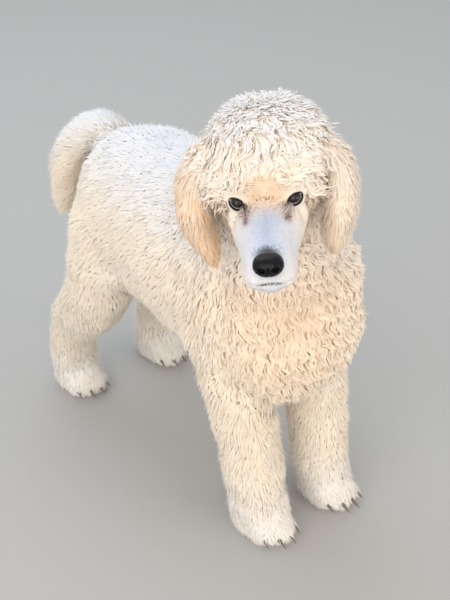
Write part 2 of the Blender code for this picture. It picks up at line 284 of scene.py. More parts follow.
def read(items, field, width=1, kind=np.float32):
    """A field of a mesh's items as an array, with one value or one row for each item."""
    found = np.empty(len(items) * width, kind)
    items.foreach_get(field, found)
    return found.reshape(-1, width) if width > 1 else found


def places(mesh):
    return read(mesh.vertices, "co", 3, float)


def set_places(mesh, points):
    mesh.vertices.foreach_set("co", np.asarray(points, np.float32).ravel())
    mesh.update()


def vertex_normals(mesh):
    return read(mesh.vertex_normals, "vector", 3).astype(float)


def edges_of(mesh):
    return read(mesh.edges, "vertices", 2, np.int32)


def triangles_of(mesh):
    mesh.calc_loop_triangles()
    return read(mesh.loop_triangles, "vertices", 3, np.int32)


# The field and the number type of each kind of attribute.
ATTRIBUTE_FIELDS = {
    "BOOLEAN": ("value", bool), "INT": ("value", np.int32), "FLOAT": ("value", np.float32),
    "FLOAT_COLOR": ("color", np.float32), "FLOAT_VECTOR": ("vector", np.float32),
}


def store(mesh, name, kind, values, domain="POINT"):
    """Keeps values on a mesh as an attribute, one for each item of the domain."""
    field, number = ATTRIBUTE_FIELDS[kind]
    kept = mesh.attributes.new(name, kind, domain)
    kept.data.foreach_set(field, np.asarray(values, number).ravel())


def evened(values, edges, rounds):
    """Evens values at the vertices out over their neighbours."""
    values = np.array(values, float)
    flat = values.reshape(len(values), -1)
    count = np.bincount(edges.ravel(), minlength=len(values)) + 1.0
    for _ in range(rounds):
        total = flat.copy()
        for column in range(flat.shape[1]):
            total[:, column] += np.bincount(edges[:, 0], flat[edges[:, 1], column], len(values))
            total[:, column] += np.bincount(edges[:, 1], flat[edges[:, 0], column], len(values))
        flat = total / count[:, None]
    return flat.reshape(values.shape)


def unit(vectors):
    return vectors / np.maximum(np.linalg.norm(vectors, axis=-1, keepdims=True), 1e-12)


def laid_flat(ways, normals):
    """Ways turned to lie flat on the surface that has those normals."""
    return unit(ways - normals * np.sum(ways * normals, 1, keepdims=True))


def smoothstep(low, high, values):
    t = np.clip((values - low) / (high - low), 0, 1)
    return t * t * (3 - 2 * t)


def bell(values, width):
    return np.exp(-((values / width) ** 2))


def bump(points, centre, radii):
    """1 at the centre of a soft ball of those radii, falling to 0 outside it."""
    away = (points - np.array(centre)) / np.array(radii)
    return np.exp(-np.sum(away * away, axis=-1))


def both_sides(points, centre, radii):
    return bump(points * [0, 1, 1] + np.abs(points) * [1, 0, 0], centre, radii)


def bareness(local):
    """1 on the clipped muzzle and cheeks, 0 on the fluffy head, for points in head axes."""
    reach = np.linalg.norm(local - MUZZLE_MIDDLE, axis=-1)
    cheek = smoothstep(0.005, -0.009, local[:, 2]) * smoothstep(0.072, 0.050, local[:, 1])
    return np.maximum(np.clip((0.076 - reach) / 0.018, 0, 1), cheek)


def in_face(x, y, z, margin=0.0):
    """Whether places in head axes lie where the skin's mesh is made finer."""
    return (y < 0.030 + margin) & (abs(x) < 0.055 + margin) & (z > -0.075 - margin) & (z < 0.045 + margin)


def add_ball(bm, centre, radii, matrix):
    place = Matrix.Translation(centre) @ Matrix.Diagonal((*radii, 1.0))
    bmesh.ops.create_uvsphere(bm, u_segments=28, v_segments=18, radius=1.0, matrix=matrix @ place)


def add_tube(bm, stations, matrix, steps=5, ring_points=32):
    """A closed tube of elliptical rings that runs smoothly through its stations."""
    control = np.array([[*centre, wide, high] for centre, wide, high in stations])
    rows = []
    for i in range(len(control) - 1):
        a, b = control[max(i - 1, 0)], control[i]
        c, d = control[i + 1], control[min(i + 2, len(control) - 1)]
        for t in np.linspace(0, 1, steps, endpoint=False):
            square = (2 * a - 5 * b + 4 * c - d) * t * t
            cube = (3 * b - a - 3 * c + d) * t**3
            rows.append(0.5 * (2 * b + (c - a) * t + square + cube))
    rows.append(control[-1])
    turns = [2 * math.pi * k / ring_points for k in range(ring_points)]
    rings = []
    for x, y, z, wide, high in rows:
        spots = [Vector((x + wide * math.cos(turn), y, z + high * math.sin(turn))) for turn in turns]
        rings.append([bm.verts.new(matrix @ spot) for spot in spots])
    join_rings(bm, rings)
    bm.faces.new(rings[0])
    bm.faces.new(list(reversed(rings[-1])))


def join_rings(bm, rings):
    """Quads between each ring of vertices and the next."""
    for near, far in zip(rings, rings[1:]):
        for k in range(len(near)):
            n = (k + 1) % len(near)
            bm.faces.new((near[k], far[k], far[n], near[n]))


def kind_of(node):
    for side in SIDES:
        node = node.replace(f"_{side}", "")
    return node


def node_numbers(names):
    """The place of each named solid in FLESH_NODES."""
    order = {name: i for i, name in enumerate(FLESH_NODES)}
    return np.array([order[name] for name in names], np.int32)


def coat_depth(points, names):
    """How far the skin lies inside the solids at each point, and how high the coat stands on it."""
    depth = np.array([COAT_DEPTH[kind_of(name)] for name in FLESH_NODES])[node_numbers(names)]
    local = to_head(points)
    depth = depth + 0.0052 * bump(points, *CHEST) * (names == "trunk")
    depth = depth - 0.0025 * smoothstep(0.045, 0.080, local[:, 2]) * (names == "head")
    on_head = np.isin(names, ["head", "neck"])
    short = np.maximum(bareness(local), np.minimum(1, 1.5 * bump(local, *SHORT_BETWEEN_EYES)))
    short = np.maximum(short, np.minimum(1, 1.5 * both_sides(local, *SHORT_ROUND_EYE)))
    short *= on_head
    height = depth * (1 - short) + FACE_DEPTH * short
    # Behind the cheeks the head is clipped too, and its skin lies well within the solid.
    behind = bareness(local) * smoothstep(0.010, 0.035, local[:, 1]) * on_head
    skin_depth = height * (1 - behind) + CHEEK_BACK_DEPTH * behind
    # The soles have no coat and stay where they are.
    sole = smoothstep(0.000, 0.010, points[:, 2])
    return skin_depth * sole, height * sole


def node_tree():
    """A search tree of the flesh solids' points, and the name of the solid that each point belongs to."""
    points, owners = [], []
    for name in FLESH_NODES:
        found = np.unique(places(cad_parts[name].data).round(5), axis=0)
        points.append(found)
        owners += [name] * len(found)
    points = np.concatenate(points)
    tree = KDTree(len(points))
    for i, point in enumerate(points):
        tree.insert(point, i)
    tree.balance()
    return tree, np.array(owners)


def nearest_nodes(points, tree, owners):
    return owners[[tree.find(point)[1] for point in points]]


def merged_copy(names, name):
    """The solids, each welded and swollen enough to cross the gap to its neighbour, melted into one."""
    whole = bmesh.new()
    for node in names:
        bm = bmesh.new()
        bm.from_mesh(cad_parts[node].data)
        bmesh.ops.remove_doubles(bm, verts=bm.verts, dist=0.00001)
        bm.normal_update()
        moves = [v.normal * SWELL for v in bm.verts]
        for vertex, move in zip(bm.verts, moves):
            vertex.co += move
        part = mesh_of(bm, "part")
        whole.from_mesh(part)
        bpy.data.meshes.remove(part)
    obj = new_object(name, mesh_of(whole, name))
    melt(obj, COARSE_VOXEL)
    return obj


def shrink(obj, tree, owners):
    """Draws a melted form in by the depth of the coat that grows on it."""
    mesh = obj.data
    edges = edges_of(mesh)
    points = evened(places(mesh), edges, 6)
    set_places(mesh, points)
    names = nearest_nodes(points, tree, owners)
    depth = evened(coat_depth(points, names)[0], edges, 8)
    normals = unit(evened(vertex_normals(mesh), edges, 10))
    set_places(mesh, points - normals * depth[:, None])


def eye_axes(side):
    """Centre and axes of an eye in head axes: out of its lids, towards its outer corner, and up."""
    centre = np.array([side * EYE_SPACING / 2, EYE_CENTRE_Y, 0.0])
    axis = unit(np.array(LOOK)) * [side, 1, 1]
    up = unit(np.array([0, 0, 1.0]) - axis * axis[2])
    outer = unit(np.cross(axis, up))
    outer *= np.sign(outer[0] * side)
    tilt = bpy.context.scene.poodle_face.lid_tilt
    cos, sin = math.cos(tilt), math.sin(tilt)
    return centre, axis, outer * cos + up * sin, up * cos - outer * sin


def lid_edge(turn):
    """The edge of the lids' opening, as angles on the eyeball towards the outer corner and up."""
    high = LIDS_ABOVE if math.sin(turn) > 0 else LIDS_BELOW
    return LIDS_WIDE * math.cos(turn), high * math.sin(turn) * (1 - 0.18 * math.cos(turn))


def in_socket(local):
    """Whether points in head axes lie in the openings of the eyes, where no lock grows."""
    found = np.zeros(len(local), bool)
    for side in (1, -1):
        centre, axis, _, _ = eye_axes(side)
        away = local - centre
        reach = np.linalg.norm(away, axis=1)
        found |= (reach < 0.0135) & (away @ axis > 0.36 * reach)
    return found


def carve_socket(local, side):
    """Moves skin points, in head axes, onto a ball round the eye, and under the eyeball in its opening."""
    centre, axis, outer, up = eye_axes(side)
    away = local - centre
    reach = np.linalg.norm(away, axis=1)
    ways = away / np.maximum(reach, 1e-9)[:, None]
    turn = np.arccos(np.clip(ways @ axis, -1, 1))
    # Out to the lids the skin follows the eyeball, then it eases into the face, later on its inner side.
    inner = smoothstep(0.0, 0.8, -(ways @ unit(outer + 0.6 * up)))
    hold = smoothstep(1.55 + 0.25 * inner, 0.95 + 0.20 * inner, turn) * (reach < 0.030)
    wanted = np.where(turn < 0.74, 0.0076, 0.0100)
    near = np.where((reach < 0.0100) & (turn > 0.74), 0.0100, reach)
    reach_new = near * (1 - hold) + wanted * hold
    return np.where((reach < 0.030)[:, None], centre + ways * reach_new[:, None], local)


def carve_face(local, normals):
    """Moves skin points, in head axes, to make eye sockets, lips and folds of the muzzle."""
    for side in (1, -1):
        local = carve_socket(local, side)
    hollow = both_sides(local, *HOLLOW_AT_EYE)
    # A shallow groove runs along the top of the muzzle.
    top = smoothstep(-0.030, -0.018, local[:, 2])
    top = top * smoothstep(0.000, -0.02, local[:, 1]) * smoothstep(-0.078, -0.068, local[:, 1])
    groove = top * bell(local[:, 0], 0.0045)
    lips = lip_line(local)
    sink = 0.0014 * hollow + 0.0007 * groove + bpy.context.scene.poodle_face.lip_depth * lips
    return local - normals * sink[:, None]


def lip_line(local):
    """1 along the closed mouth and 0 away from it, for points in head axes."""
    x, y, z = local.T
    height = -0.0495 + 0.012 * smoothstep(-0.060, -0.018, y) + 0.0012 * np.cos(x / 0.0045)
    height += 0.16 * np.minimum(np.abs(x), 0.014)
    below = smoothstep(-0.040, -0.043, z - 0.006 * smoothstep(-0.06, -0.02, y))
    return bell(z - height, 0.0012) * smoothstep(-0.012, -0.022, y) * below


def markings(points, names):
    """Where the coat is apricot, white, stained, dark and clipped, for points in the model's axes, with white
    on the tops partly painted cool sky light.

    Skin and coat are coloured by the same measures.
    """
    local = to_head(points)
    x, y, z = local.T
    on_ears = np.isin(names, EAR_NODES)
    on_head = np.isin(names, ("head", "neck")) | on_ears
    # Apricot is faint on the head, clear between the eyes and on the ears, and more on the right ear.
    patch = np.minimum(1, 1.3 * bump(local, *APRICOT_BETWEEN_EYES))
    apricot = (0.11 + 0.80 * patch + 0.30 * both_sides(local, *APRICOT_BROW)) * on_head
    on_ear = 0.28 - 0.22 * np.sign(x) + 0.42 * both_sides(local, *APRICOT_EAR)
    apricot = np.clip(apricot + on_ears * on_ear * (0.25 + 0.75 * smoothstep(0.045, 0.008, z)), 0, 1)
    chest = bump(points, *CHEST)
    apricot = np.clip(apricot + 0.48 * chest * ~on_ears, 0, 1)
    # White, pale and bluish, lies on all that is high as painted cool sky light, on the feet as a paler coat,
    # and less on the lower head and the ears.
    high = smoothstep(0.325, 0.415, points[:, 2]) * (1 - 0.8 * chest)
    high *= 1 - 0.7 * smoothstep(0.085, 0.045, z) * (on_ears | (names == "head"))
    white = np.clip(high + 0.5 * smoothstep(0.10, 0.03, points[:, 2]), 0, 1)
    stain = 3.0 * both_sides(local, *STAIN_AT_EYE) + 2.4 * both_sides(local, *STAIN_BELOW)
    # Dark skin shows along the lips, at the nose, at the eyes' corners and faintly along the muzzle.
    parting = bell(x, 0.0075) * smoothstep(-0.004, -0.030, y) * smoothstep(-0.036, -0.020, z)
    near_nose = smoothstep(0.0195, 0.0110, np.linalg.norm(local - [0, -0.083, -0.0285], axis=1))
    near_nose *= smoothstep(-0.028, -0.018, z)
    lips = lip_line(local) * smoothstep(0.015, 0.007, np.abs(x))
    corner = 1.5 * both_sides(local, *DARK_CORNER)
    dark = np.clip(lips + 0.10 * parting + 0.85 * near_nose + corner, 0, 1) * on_head
    clipped = bareness(local) * on_head * smoothstep(-0.004, -0.030, y)
    clipped *= (0.60 + 0.40 * smoothstep(-0.046, -0.022, z)) * (0.38 + 0.62 * bell(x, 0.0180))
    return apricot, white, np.clip(stain, 0, 1) * on_head, dark, clipped


def paint(mesh, points, names, along=0.8, chance=0.5, least_dark=0.0):
    """Stores the markings on a mesh for its material, with how far along its lock each point is."""
    apricot, white, stain, dark, clipped = markings(points, names)
    ones = np.ones(len(points))
    store(mesh, "markings", "FLOAT_COLOR", np.stack([apricot, white, stain, np.maximum(dark, least_dark)], 1))
    store(mesh, "strands", "FLOAT_COLOR", np.stack([along * ones, chance * ones, clipped, ones], 1))


def input_socket(tree, name, kind):
    return tree.interface.new_socket(name=name, in_out="INPUT", socket_type=kind)


def output_socket(tree, name, kind):
    return tree.interface.new_socket(name=name, in_out="OUTPUT", socket_type=kind)


def feed(tree, source, socket):
    """Links a socket to another one, or sets it to a plain value."""
    if isinstance(source, bpy.types.NodeSocket):
        tree.links.new(source, socket)
    else:
        socket.default_value = source


def mix_colour(tree, factor, first, second):
    """A mix of two colours; factor, first and second are sockets or plain values."""
    node = tree.nodes.new("ShaderNodeMix")
    node.data_type = "RGBA"
    for number, source in ((0, factor), (6, first), (7, second)):
        feed(tree, source, node.inputs[number])
    return node.outputs[2]


def calculate(tree, operation, *values):
    node = tree.nodes.new("ShaderNodeMath")
    node.operation = operation
    node.use_clamp = operation == "MULTIPLY_ADD"
    for socket, value in zip(node.inputs, values):
        feed(tree, value, socket)
    return node.outputs[0]


def object_place(tree):
    return tree.nodes.new("ShaderNodeTexCoord").outputs["Object"]


def noise_factor(tree, scale, detail):
    node = tree.nodes.new("ShaderNodeTexNoise")
    feed(tree, scale, node.inputs["Scale"])
    feed(tree, detail, node.inputs["Detail"])
    feed(tree, object_place(tree), node.inputs["Vector"])
    return node.outputs["Fac"]


def attribute_node(tree, name):
    node = tree.nodes.new("ShaderNodeAttribute")
    node.attribute_name = name
    return node


def add_relief(tree, shader, height, distance, strength=0.6, invert=False):
    """Raises a shader's surface where the height socket is high."""
    relief = tree.nodes.new("ShaderNodeBump")
    relief.invert = invert
    feed(tree, strength, relief.inputs["Strength"])
    feed(tree, distance, relief.inputs["Distance"])
    feed(tree, height, relief.inputs["Height"])
    feed(tree, relief.outputs["Normal"], shader.inputs["Normal"])


COAT_COLOURS = ("Cream", "White", "Apricot", "Shade", "Muzzle", "Stain", "Leather")


def coat_colour_group():
    """The shared markings of skin and coat, with painted shade towards the locks' roots, as a node group."""
    found = bpy.data.node_groups.get("coat_colour")
    if found:
        return found
    tree = bpy.data.node_groups.new("coat_colour", "ShaderNodeTree")
    for name in COAT_COLOURS:
        input_socket(tree, name, "NodeSocketColor")
    input_socket(tree, "Root Shade", "NodeSocketFloat")
    output_socket(tree, "Colour", "NodeSocketColor")
    inside = tree.nodes.new("NodeGroupInput").outputs
    outside = tree.nodes.new("NodeGroupOutput").inputs
    parts = []
    for name in ("markings", "strands"):
        marks = attribute_node(tree, name)
        split = tree.nodes.new("ShaderNodeSeparateColor")
        feed(tree, marks.outputs["Color"], split.inputs[0])
        parts += [*split.outputs, marks.outputs["Alpha"]]
    apricot, white, stain, dark, along, chance, clipped, _ = parts
    blotch = noise_factor(tree, 22.0, 2.0)
    fine = noise_factor(tree, 260.0, 2.0)
    apricot = calculate(tree, "MULTIPLY", apricot, calculate(tree, "MULTIPLY_ADD", fine, 0.7, 0.65))
    white = calculate(tree, "MULTIPLY", white, calculate(tree, "MULTIPLY_ADD", blotch, 0.8, 0.6))
    colour = mix_colour(tree, white, inside["Cream"], inside["White"])
    colour = mix_colour(tree, calculate(tree, "MULTIPLY", chance, 0.30), colour, inside["White"])
    colour = mix_colour(tree, apricot, colour, inside["Apricot"])
    # Towards the roots the colour turns to the Shade colour, as painted shade deep between the locks.
    deep = calculate(tree, "POWER", calculate(tree, "SUBTRACT", 1.0, along), 1.5)
    deep = calculate(tree, "MULTIPLY", deep, inside["Root Shade"])
    colour = mix_colour(tree, deep, colour, inside["Shade"])
    colour = mix_colour(tree, clipped, colour, inside["Muzzle"])
    colour = mix_colour(tree, stain, colour, inside["Stain"])
    speckle = calculate(tree, "MULTIPLY_ADD", fine, 1.6, 0.2)
    colour = mix_colour(tree, calculate(tree, "MULTIPLY", dark, speckle), colour, inside["Leather"])
    feed(tree, colour, outside["Colour"])
    return tree


def new_material(name, finish):
    """A material whose shader has that finish, with its tree and its shader."""
    made = bpy.data.materials.new(name)
    made.use_nodes = True
    shader = made.node_tree.nodes["Principled BSDF"]
    for socket, value in finish.items():
        shader.inputs[socket].default_value = value
    return made, made.node_tree, shader


def coat_material(name, root_shade, relief_scale, relief_height):
    """Hair: the shared markings, with fine relief over it."""
    coat = bpy.context.scene.poodle_coat
    made, tree, shader = new_material(name, FUR)
    group = tree.nodes.new("ShaderNodeGroup")
    group.node_tree = coat_colour_group()
    for label in COAT_COLOURS:
        group.inputs[label].default_value = getattr(coat, label.lower())
    group.inputs["Root Shade"].default_value = root_shade
    feed(tree, group.outputs["Colour"], shader.inputs["Base Color"])
    add_relief(tree, shader, noise_factor(tree, relief_scale, 3.0), relief_height)
    return made


class POODLE_OT_skin(bpy.types.Operator):
    """Builds the one skin that stands for the flesh, drawn in below the coat"""

    bl_idname = "poodle.skin"
    bl_label = "Skin"

    def execute(self, context):
        tree, owners = node_tree()
        forms = [merged_copy(BODY_NODES + ("head",), "body_form")]
        forms += [merged_copy((node,), f"{node}_form") for node in EAR_NODES]
        whole = bmesh.new()
        for form in forms:
            shrink(form, tree, owners)
            whole.from_mesh(form.data)
            bpy.data.objects.remove(form, do_unlink=True)
        add_tube(whole, MUZZLE, HEAD)
        for ball in (CHIN, SKULL):
            add_ball(whole, *ball, HEAD)
        for (x, y, z), radii in (LIP, BROW, CHEEK, TEMPLE):
            add_ball(whole, (x, y, z), radii, HEAD)
            add_ball(whole, (-x, y, z), radii, HEAD)
        skin = new_object("skin", mesh_of(whole, "skin"))
        melt(skin, SKIN_VOXEL)
        mesh = skin.data
        self.refine_face(mesh)
        points = places(mesh)
        names = nearest_nodes(points, tree, owners)
        names = np.where((names == "neck") & (bareness(to_head(points)) > 0.3), "head", names)
        paint(mesh, points, names)
        store(mesh, "depth", "FLOAT", evened(coat_depth(points, names)[1], edges_of(mesh), 6))
        store(mesh, "node", "INT", node_numbers(names))
        mesh.materials.append(coat_material("skin_short_fur", 0.0, 900.0, 0.0006))
        mesh.shade_smooth()
        finished(skin, "coat", *FLESH_NODES)
        return {"FINISHED"}

    def refine_face(self, mesh):
        """Smooths the skin, makes the face's mesh finer and carves the face."""
        set_places(mesh, evened(places(mesh), edges_of(mesh), 3))
        bm = bmesh.new()
        bm.from_mesh(mesh)
        inverse = HEAD.inverted()
        chosen = {face for face in bm.faces if in_face(*(inverse @ face.calc_center_median()))}
        edges = [edge for edge in bm.edges if not chosen.isdisjoint(edge.link_faces)]
        bmesh.ops.subdivide_edges(bm, edges=edges, cuts=1, use_grid_fill=True)
        bm.to_mesh(mesh)
        bm.free()
        points = places(mesh)
        fine = in_face(*to_head(points).T, margin=0.005)[:, None]
        points = np.where(fine, evened(points, edges_of(mesh), 4), points)
        set_places(mesh, points)
        local = to_head(points)
        carved = np.where(fine, carve_face(local, vertex_normals(mesh) @ HEAD_TURN), local)
        points = from_head(carved)
        points[:, 2] = np.maximum(points[:, 2], 0.0)
        set_places(mesh, points)


class SkinData:
    """The finished skin as arrays: points, normals, triangles, solids and depth of coat."""

    def __init__(self):
        mesh = bpy.data.objects["skin"].data
        self.names = np.array(FLESH_NODES)[read(mesh.attributes["node"].data, "value", kind=np.int32)]
        self.depth = read(mesh.attributes["depth"].data, "value")
        self.points, self.normals = places(mesh), vertex_normals(mesh)
        self.triangles, self.edges = triangles_of(mesh), edges_of(mesh)
        self.local = to_head(self.points)
        self.bare = bareness(self.local) * np.isin(self.names, ["head", "neck"])
        soft = unit(evened(self.normals, self.edges, 8))
        self.soft_normals = np.where((self.bare > 0.5)[:, None], self.normals, soft)
        self.ways = evened(unit(self.lie_of_coat()), self.edges, 14)
        self.solids = flesh_tree()

    def lie_of_coat(self):
        """The way the hair lies at each skin point, before it is laid flat on the skin."""
        points, names = self.points, self.names
        # Back and down over the trunk, and straight down on the chest.
        way = np.tile([0.0, 0.75, -0.85], (len(points), 1))
        way += smoothstep(-0.02, -0.10, points[:, 1])[:, None] * [0.0, -0.70, -0.4]
        way += smoothstep(0.26, 0.20, points[:, 2])[:, None] * [0.0, 0.3, -0.3]
        way[names == "neck"] = [0.1, 0.15, -1.0]
        way[np.isin(names, LEG_NODES)] = [0.0, 0.15, -1.0]
        way[np.isin(names, both("fore_paw") + both("hind_paw"))] = [0.0, -0.6, -0.8]
        way[names == "tail"] = tail_way(points[names == "tail"])
        way[names == "head"] = self.lie_on_head()[names == "head"]
        way[np.isin(names, EAR_NODES)] = np.array([0.0, -0.10, -1.0]) @ HEAD_TURN.T
        return way

    def lie_on_head(self):
        """Away from the crown all round, down over the brows, up the forehead, back on the muzzle."""
        local, flat = self.local, np.ones(len(self.local))
        crown = unit(local - [0.0, 0.062, 0.105])
        brow = both_sides(local, *FALL_OVER_BROW)[:, None]
        hang = -0.008 - 1.3 * np.clip(np.abs(local[:, 0]) - 0.030, 0, 0.03)
        sweep = np.stack([1.5 * local[:, 0], 0.006 * flat, hang], 1)
        crown = crown * (1 - brow) + unit(sweep) * brow
        forehead = bump(local, *RISE_ON_FOREHEAD)[:, None]
        crown = crown * (1 - forehead) + unit(local * [2, 0, 0] + [0, 0.03, 0.03]) * forehead
        muzzle = unit(np.stack([2.5 * local[:, 0], 0.05 * flat, 0.012 * flat], 1))
        bare = self.bare[:, None]
        return (crown * (1 - bare) + muzzle * bare) @ HEAD_TURN.T

    def sample(self, weights, count, rng):
        """Roots spread evenly over the skin: the corners of their triangles, and the corners' shares."""
        a, b, c = (self.points[self.triangles[:, k]] for k in range(3))
        area = np.linalg.norm(np.cross(b - a, c - a), axis=1) * weights[self.triangles].mean(1)
        # The triangles are taken cell by cell, in an order of cells that keeps neighbours together.
        cell = (((a + b + c) / 3 - self.points.min(0)) / 0.004).astype(np.int64)
        code = np.zeros(len(cell), np.int64)
        for bit in range(9):
            for axis in range(3):
                code |= ((cell[:, axis] >> bit) & 1) << (3 * bit + axis)
        order = np.argsort(code, kind="stable")
        total = np.cumsum(area[order])
        spots = (np.arange(count) + rng.random(count)) / count * total[-1]
        chosen = order[np.minimum(np.searchsorted(total, spots), len(order) - 1)]
        u, v = rng.random(count), rng.random(count)
        flip = u + v > 1
        u, v = np.where(flip, 1 - u, u), np.where(flip, 1 - v, v)
        return self.triangles[chosen], np.stack([1 - u - v, u, v], 1)


def tail_way(points):
    """The way the tail runs at each point: up and back from its root, then down to its tip."""
    low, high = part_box("tail")
    turn = np.clip((points[:, 1] - low.y) / (high.y - low.y), 0, 1)
    drop = smoothstep(0.45, 0.95, turn)
    return np.stack([-0.35 - 0.1 * drop, 1.0 - 1.2 * drop, 0.8 - 2.0 * drop], 1)


def flesh_tree():
    """A search tree of the flesh solids' faces, to tell how far a point is outside them."""
    points, faces, count = [], [], 0
    for name in FLESH_NODES:
        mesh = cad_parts[name].data
        points.append(places(mesh))
        faces.append(triangles_of(mesh) + count)
        count += len(points[-1])
    return BVHTree.FromPolygons(np.concatenate(points).tolist(), np.concatenate(faces).tolist())


def interpolate(values, corners, shares):
    return np.einsum("ij...,ij->i...", values[corners], shares)


def swirl(points, scale, seed):
    """Smooth random values from -1 to 1 over space, as three columns."""
    offset = Vector((seed * 3.7, 0, 0))
    return np.array([noise.noise_vector(Vector(point) * scale + offset) for point in points.tolist()])


def unwrap(points, kind, box):
    """Where skin points come on an unwrap of the skin's own shape: round the part, and along it."""
    low, high = box
    x, y, z = (points - (low + high) / 2).T
    if kind in ("trunk", "tail"):
        around, along = np.arctan2(x, z), (points[:, 1] - low[1]) / (high[1] - low[1])
    elif kind == "head":
        x, y, z = (to_head(points) - [0, 0.02, 0.0]).T
        around, along = np.arctan2(x, z), (y + 0.14) / 0.26
    else:
        around, along = np.arctan2(x, y), (points[:, 2] - low[2]) / (high[2] - low[2])
    return 0.01 + 0.98 * np.stack([around / (2 * math.pi) + 0.5, np.clip(along, 0, 1)], 1)


# The width of a lock along its length, as a share of its full width.
PROFILE_SPOTS, PROFILE_WIDTHS = (0, 0.3, 0.75, 1), (0.70, 1.0, 0.80, 0.0)
# A lock's cross-section, as shares of its half width: how far its lower edges sink and its ridge rises.
EDGE_SINK, RIDGE_RISE = 0.14, 0.34
# How wide and long a lock is on the bake map.
BAKE_PATCH = 0.003


def grow(roots, normals, soft, ways, shape, segments, rng):
    """Builds tapered three-sided locks and returns their points, shading normals and places along the lock.

    shape holds for each lock its length, width, lift at the root and at the tip (radians off the skin),
    wave (metres), turns, phase, clump (0 to 1) and leader, the lock it is drawn to, and for all locks
    roundness, how far the waves are coils, and relief, how far the shading follows the lock.
    """
    count, steps = len(roots), segments + 1
    t = np.linspace(0, 1, steps)
    side = unit(np.cross(normals, ways))
    lift = shape["lift"][:, None] * (1 - t) + shape["tip_lift"][:, None] * t
    half = (lift[:, 1:] + lift[:, :-1])[..., None] / 2
    heading = np.cos(half) * ways[:, None] + np.sin(half) * normals[:, None]
    step = shape["length"][:, None, None] / segments * heading
    curve = np.concatenate([np.zeros((count, 1, 3)), np.cumsum(step, 1)], 1) + roots[:, None]
    angle = 2 * math.pi * shape["turns"][:, None] * t + shape["phase"][:, None]
    sway = shape["wave"][:, None] * np.clip(t * 2.5, 0, 1)
    curve += (sway * np.sin(angle))[..., None] * side[:, None]
    curve += (sway * shape["roundness"] * np.cos(angle))[..., None] * normals[:, None]
    pull = shape["clump"][:, None] * t**1.2
    curve += pull[..., None] * (curve[shape["leader"]] - curve)
    ends = [curve[:, 1:2] - curve[:, :1], curve[:, 2:] - curve[:, :-2], curve[:, -1:] - curve[:, -2:-1]]
    tangent = unit(np.concatenate(ends, 1))
    roll = rng.normal(0, 0.35, count)[:, None]
    facing = normals * np.cos(roll) + side * np.sin(roll)
    across = unit(np.cross(tangent, facing[:, None]))
    upward = unit(np.cross(across, tangent))
    half_wide = (shape["width"][:, None] * np.interp(t, PROFILE_SPOTS, PROFILE_WIDTHS))[:, :-1, None] / 2
    sink, rise = EDGE_SINK * upward[:, :-1], RIDGE_RISE * upward[:, :-1]
    section = np.stack([across[:, :-1] - sink, rise, -across[:, :-1] - sink], 2)
    ring = curve[:, :-1, None] + half_wide[:, :, None] * section
    points = np.concatenate([ring.reshape(count, -1, 3), curve[:, -1:]], 1)
    points[..., 2] = np.maximum(points[..., 2], 0.0002)
    base, relief = soft[:, None], shape["relief"]
    ridge = relief * upward[:, :-1] + base
    outward = 0.65 * relief * across[:, :-1]
    ring_normals = np.stack([unit(outward + ridge), unit(ridge), unit(ridge - outward)], 2)
    tip_normals = unit(relief * upward[:, -1:] + base)
    shading = np.concatenate([ring_normals.reshape(count, -1, 3), tip_normals], 1)
    under = unit(0.55 * base - 0.8 * upward)
    lengths = np.concatenate([np.repeat(t[:-1], 3), [1.0]])
    across_uv = np.concatenate([np.tile([0.0, 0.5, 1.0], steps - 1), [0.5]])
    return points, shading, under, lengths, across_uv


def lock_faces(segments):
    """The faces of one lock: quads along its sides, a closing triangle at the root, three at the tip."""
    quads, tris = [], [(0, 1, 2)]
    for k in range(3 * (segments - 1)):
        n = k + 1 if k % 3 < 2 else k - 2
        quads.append((k, k + 3, n + 3, n))
    last, tip = 3 * (segments - 1), 3 * segments
    for k in range(3):
        tris.append((last + k, tip, last + (k + 1) % 3))
    return np.array(quads, np.int32).reshape(-1, 4), np.array(tris, np.int32)


def corner_shading(shading, under, faces, lower):
    """The normals at the corners of faces; the lower faces are those on a lock's underside."""
    return np.where(lower[None, :, None, None], under[:, faces // 3], shading[:, faces]).reshape(-1, 3)


def lock_mesh(name, grown, spots, chance, names, roots, segments, material):
    """One mesh of many locks, with its colours, its soft shading and its bake map."""
    points, shading, under, lengths, across_uv = grown
    count, each = points.shape[:2]
    quads, tris = lock_faces(segments)
    corner_normals = np.concatenate([
        corner_shading(shading, under, quads, np.arange(len(quads)) % 3 == 2),
        corner_shading(shading, under, tris, np.array([True, False, False, True])),
    ])
    base = (np.arange(count, dtype=np.int32) * each)[:, None, None]
    all_quads, all_tris = (base + quads[None]).ravel(), (base + tris[None]).ravel()
    loops = np.concatenate([all_quads, all_tris])
    quad_starts = np.arange(0, len(all_quads), 4)
    starts = np.concatenate([quad_starts, len(all_quads) + np.arange(0, len(all_tris), 3)])
    mesh = bpy.data.meshes.new(name)
    mesh.vertices.add(count * each)
    mesh.vertices.foreach_set("co", points.astype(np.float32).ravel())
    mesh.loops.add(len(loops))
    mesh.loops.foreach_set("vertex_index", loops)
    mesh.polygons.add(len(starts))
    mesh.polygons.foreach_set("loop_start", starts.astype(np.int32))
    mesh.update(calc_edges=True)
    mesh.shade_smooth()
    # The two lower edges along each lock part its shading from that of the underside.
    ends = edges_of(mesh) % each
    tip = 3 * segments
    low_tip = (ends.max(1) == tip) & (ends.min(1) == tip - 1)
    lower = ((ends[:, 0] % 3 == ends[:, 1] % 3) & (ends[:, 0] % 3 != 1)) | low_tip
    store(mesh, "sharp_edge", "BOOLEAN", lower, "EDGE")
    patch = BAKE_PATCH * (np.stack([across_uv, lengths], 1) - 0.5)
    layer = mesh.uv_layers.new(name="OFBake")
    layer.uv.foreach_set("vector", (spots[:, None] + patch).reshape(-1, 2)[loops].astype(np.float32).ravel())
    repeated = [np.repeat(values, each, axis=0) for values in (roots, names, chance)]
    paint(mesh, *repeated[:2], along=np.tile(lengths, count), chance=repeated[2])
    store(mesh, "custom_normal", "FLOAT_VECTOR", corner_normals, "CORNER")
    mesh.materials.append(material)
    mesh.validate()
    return mesh


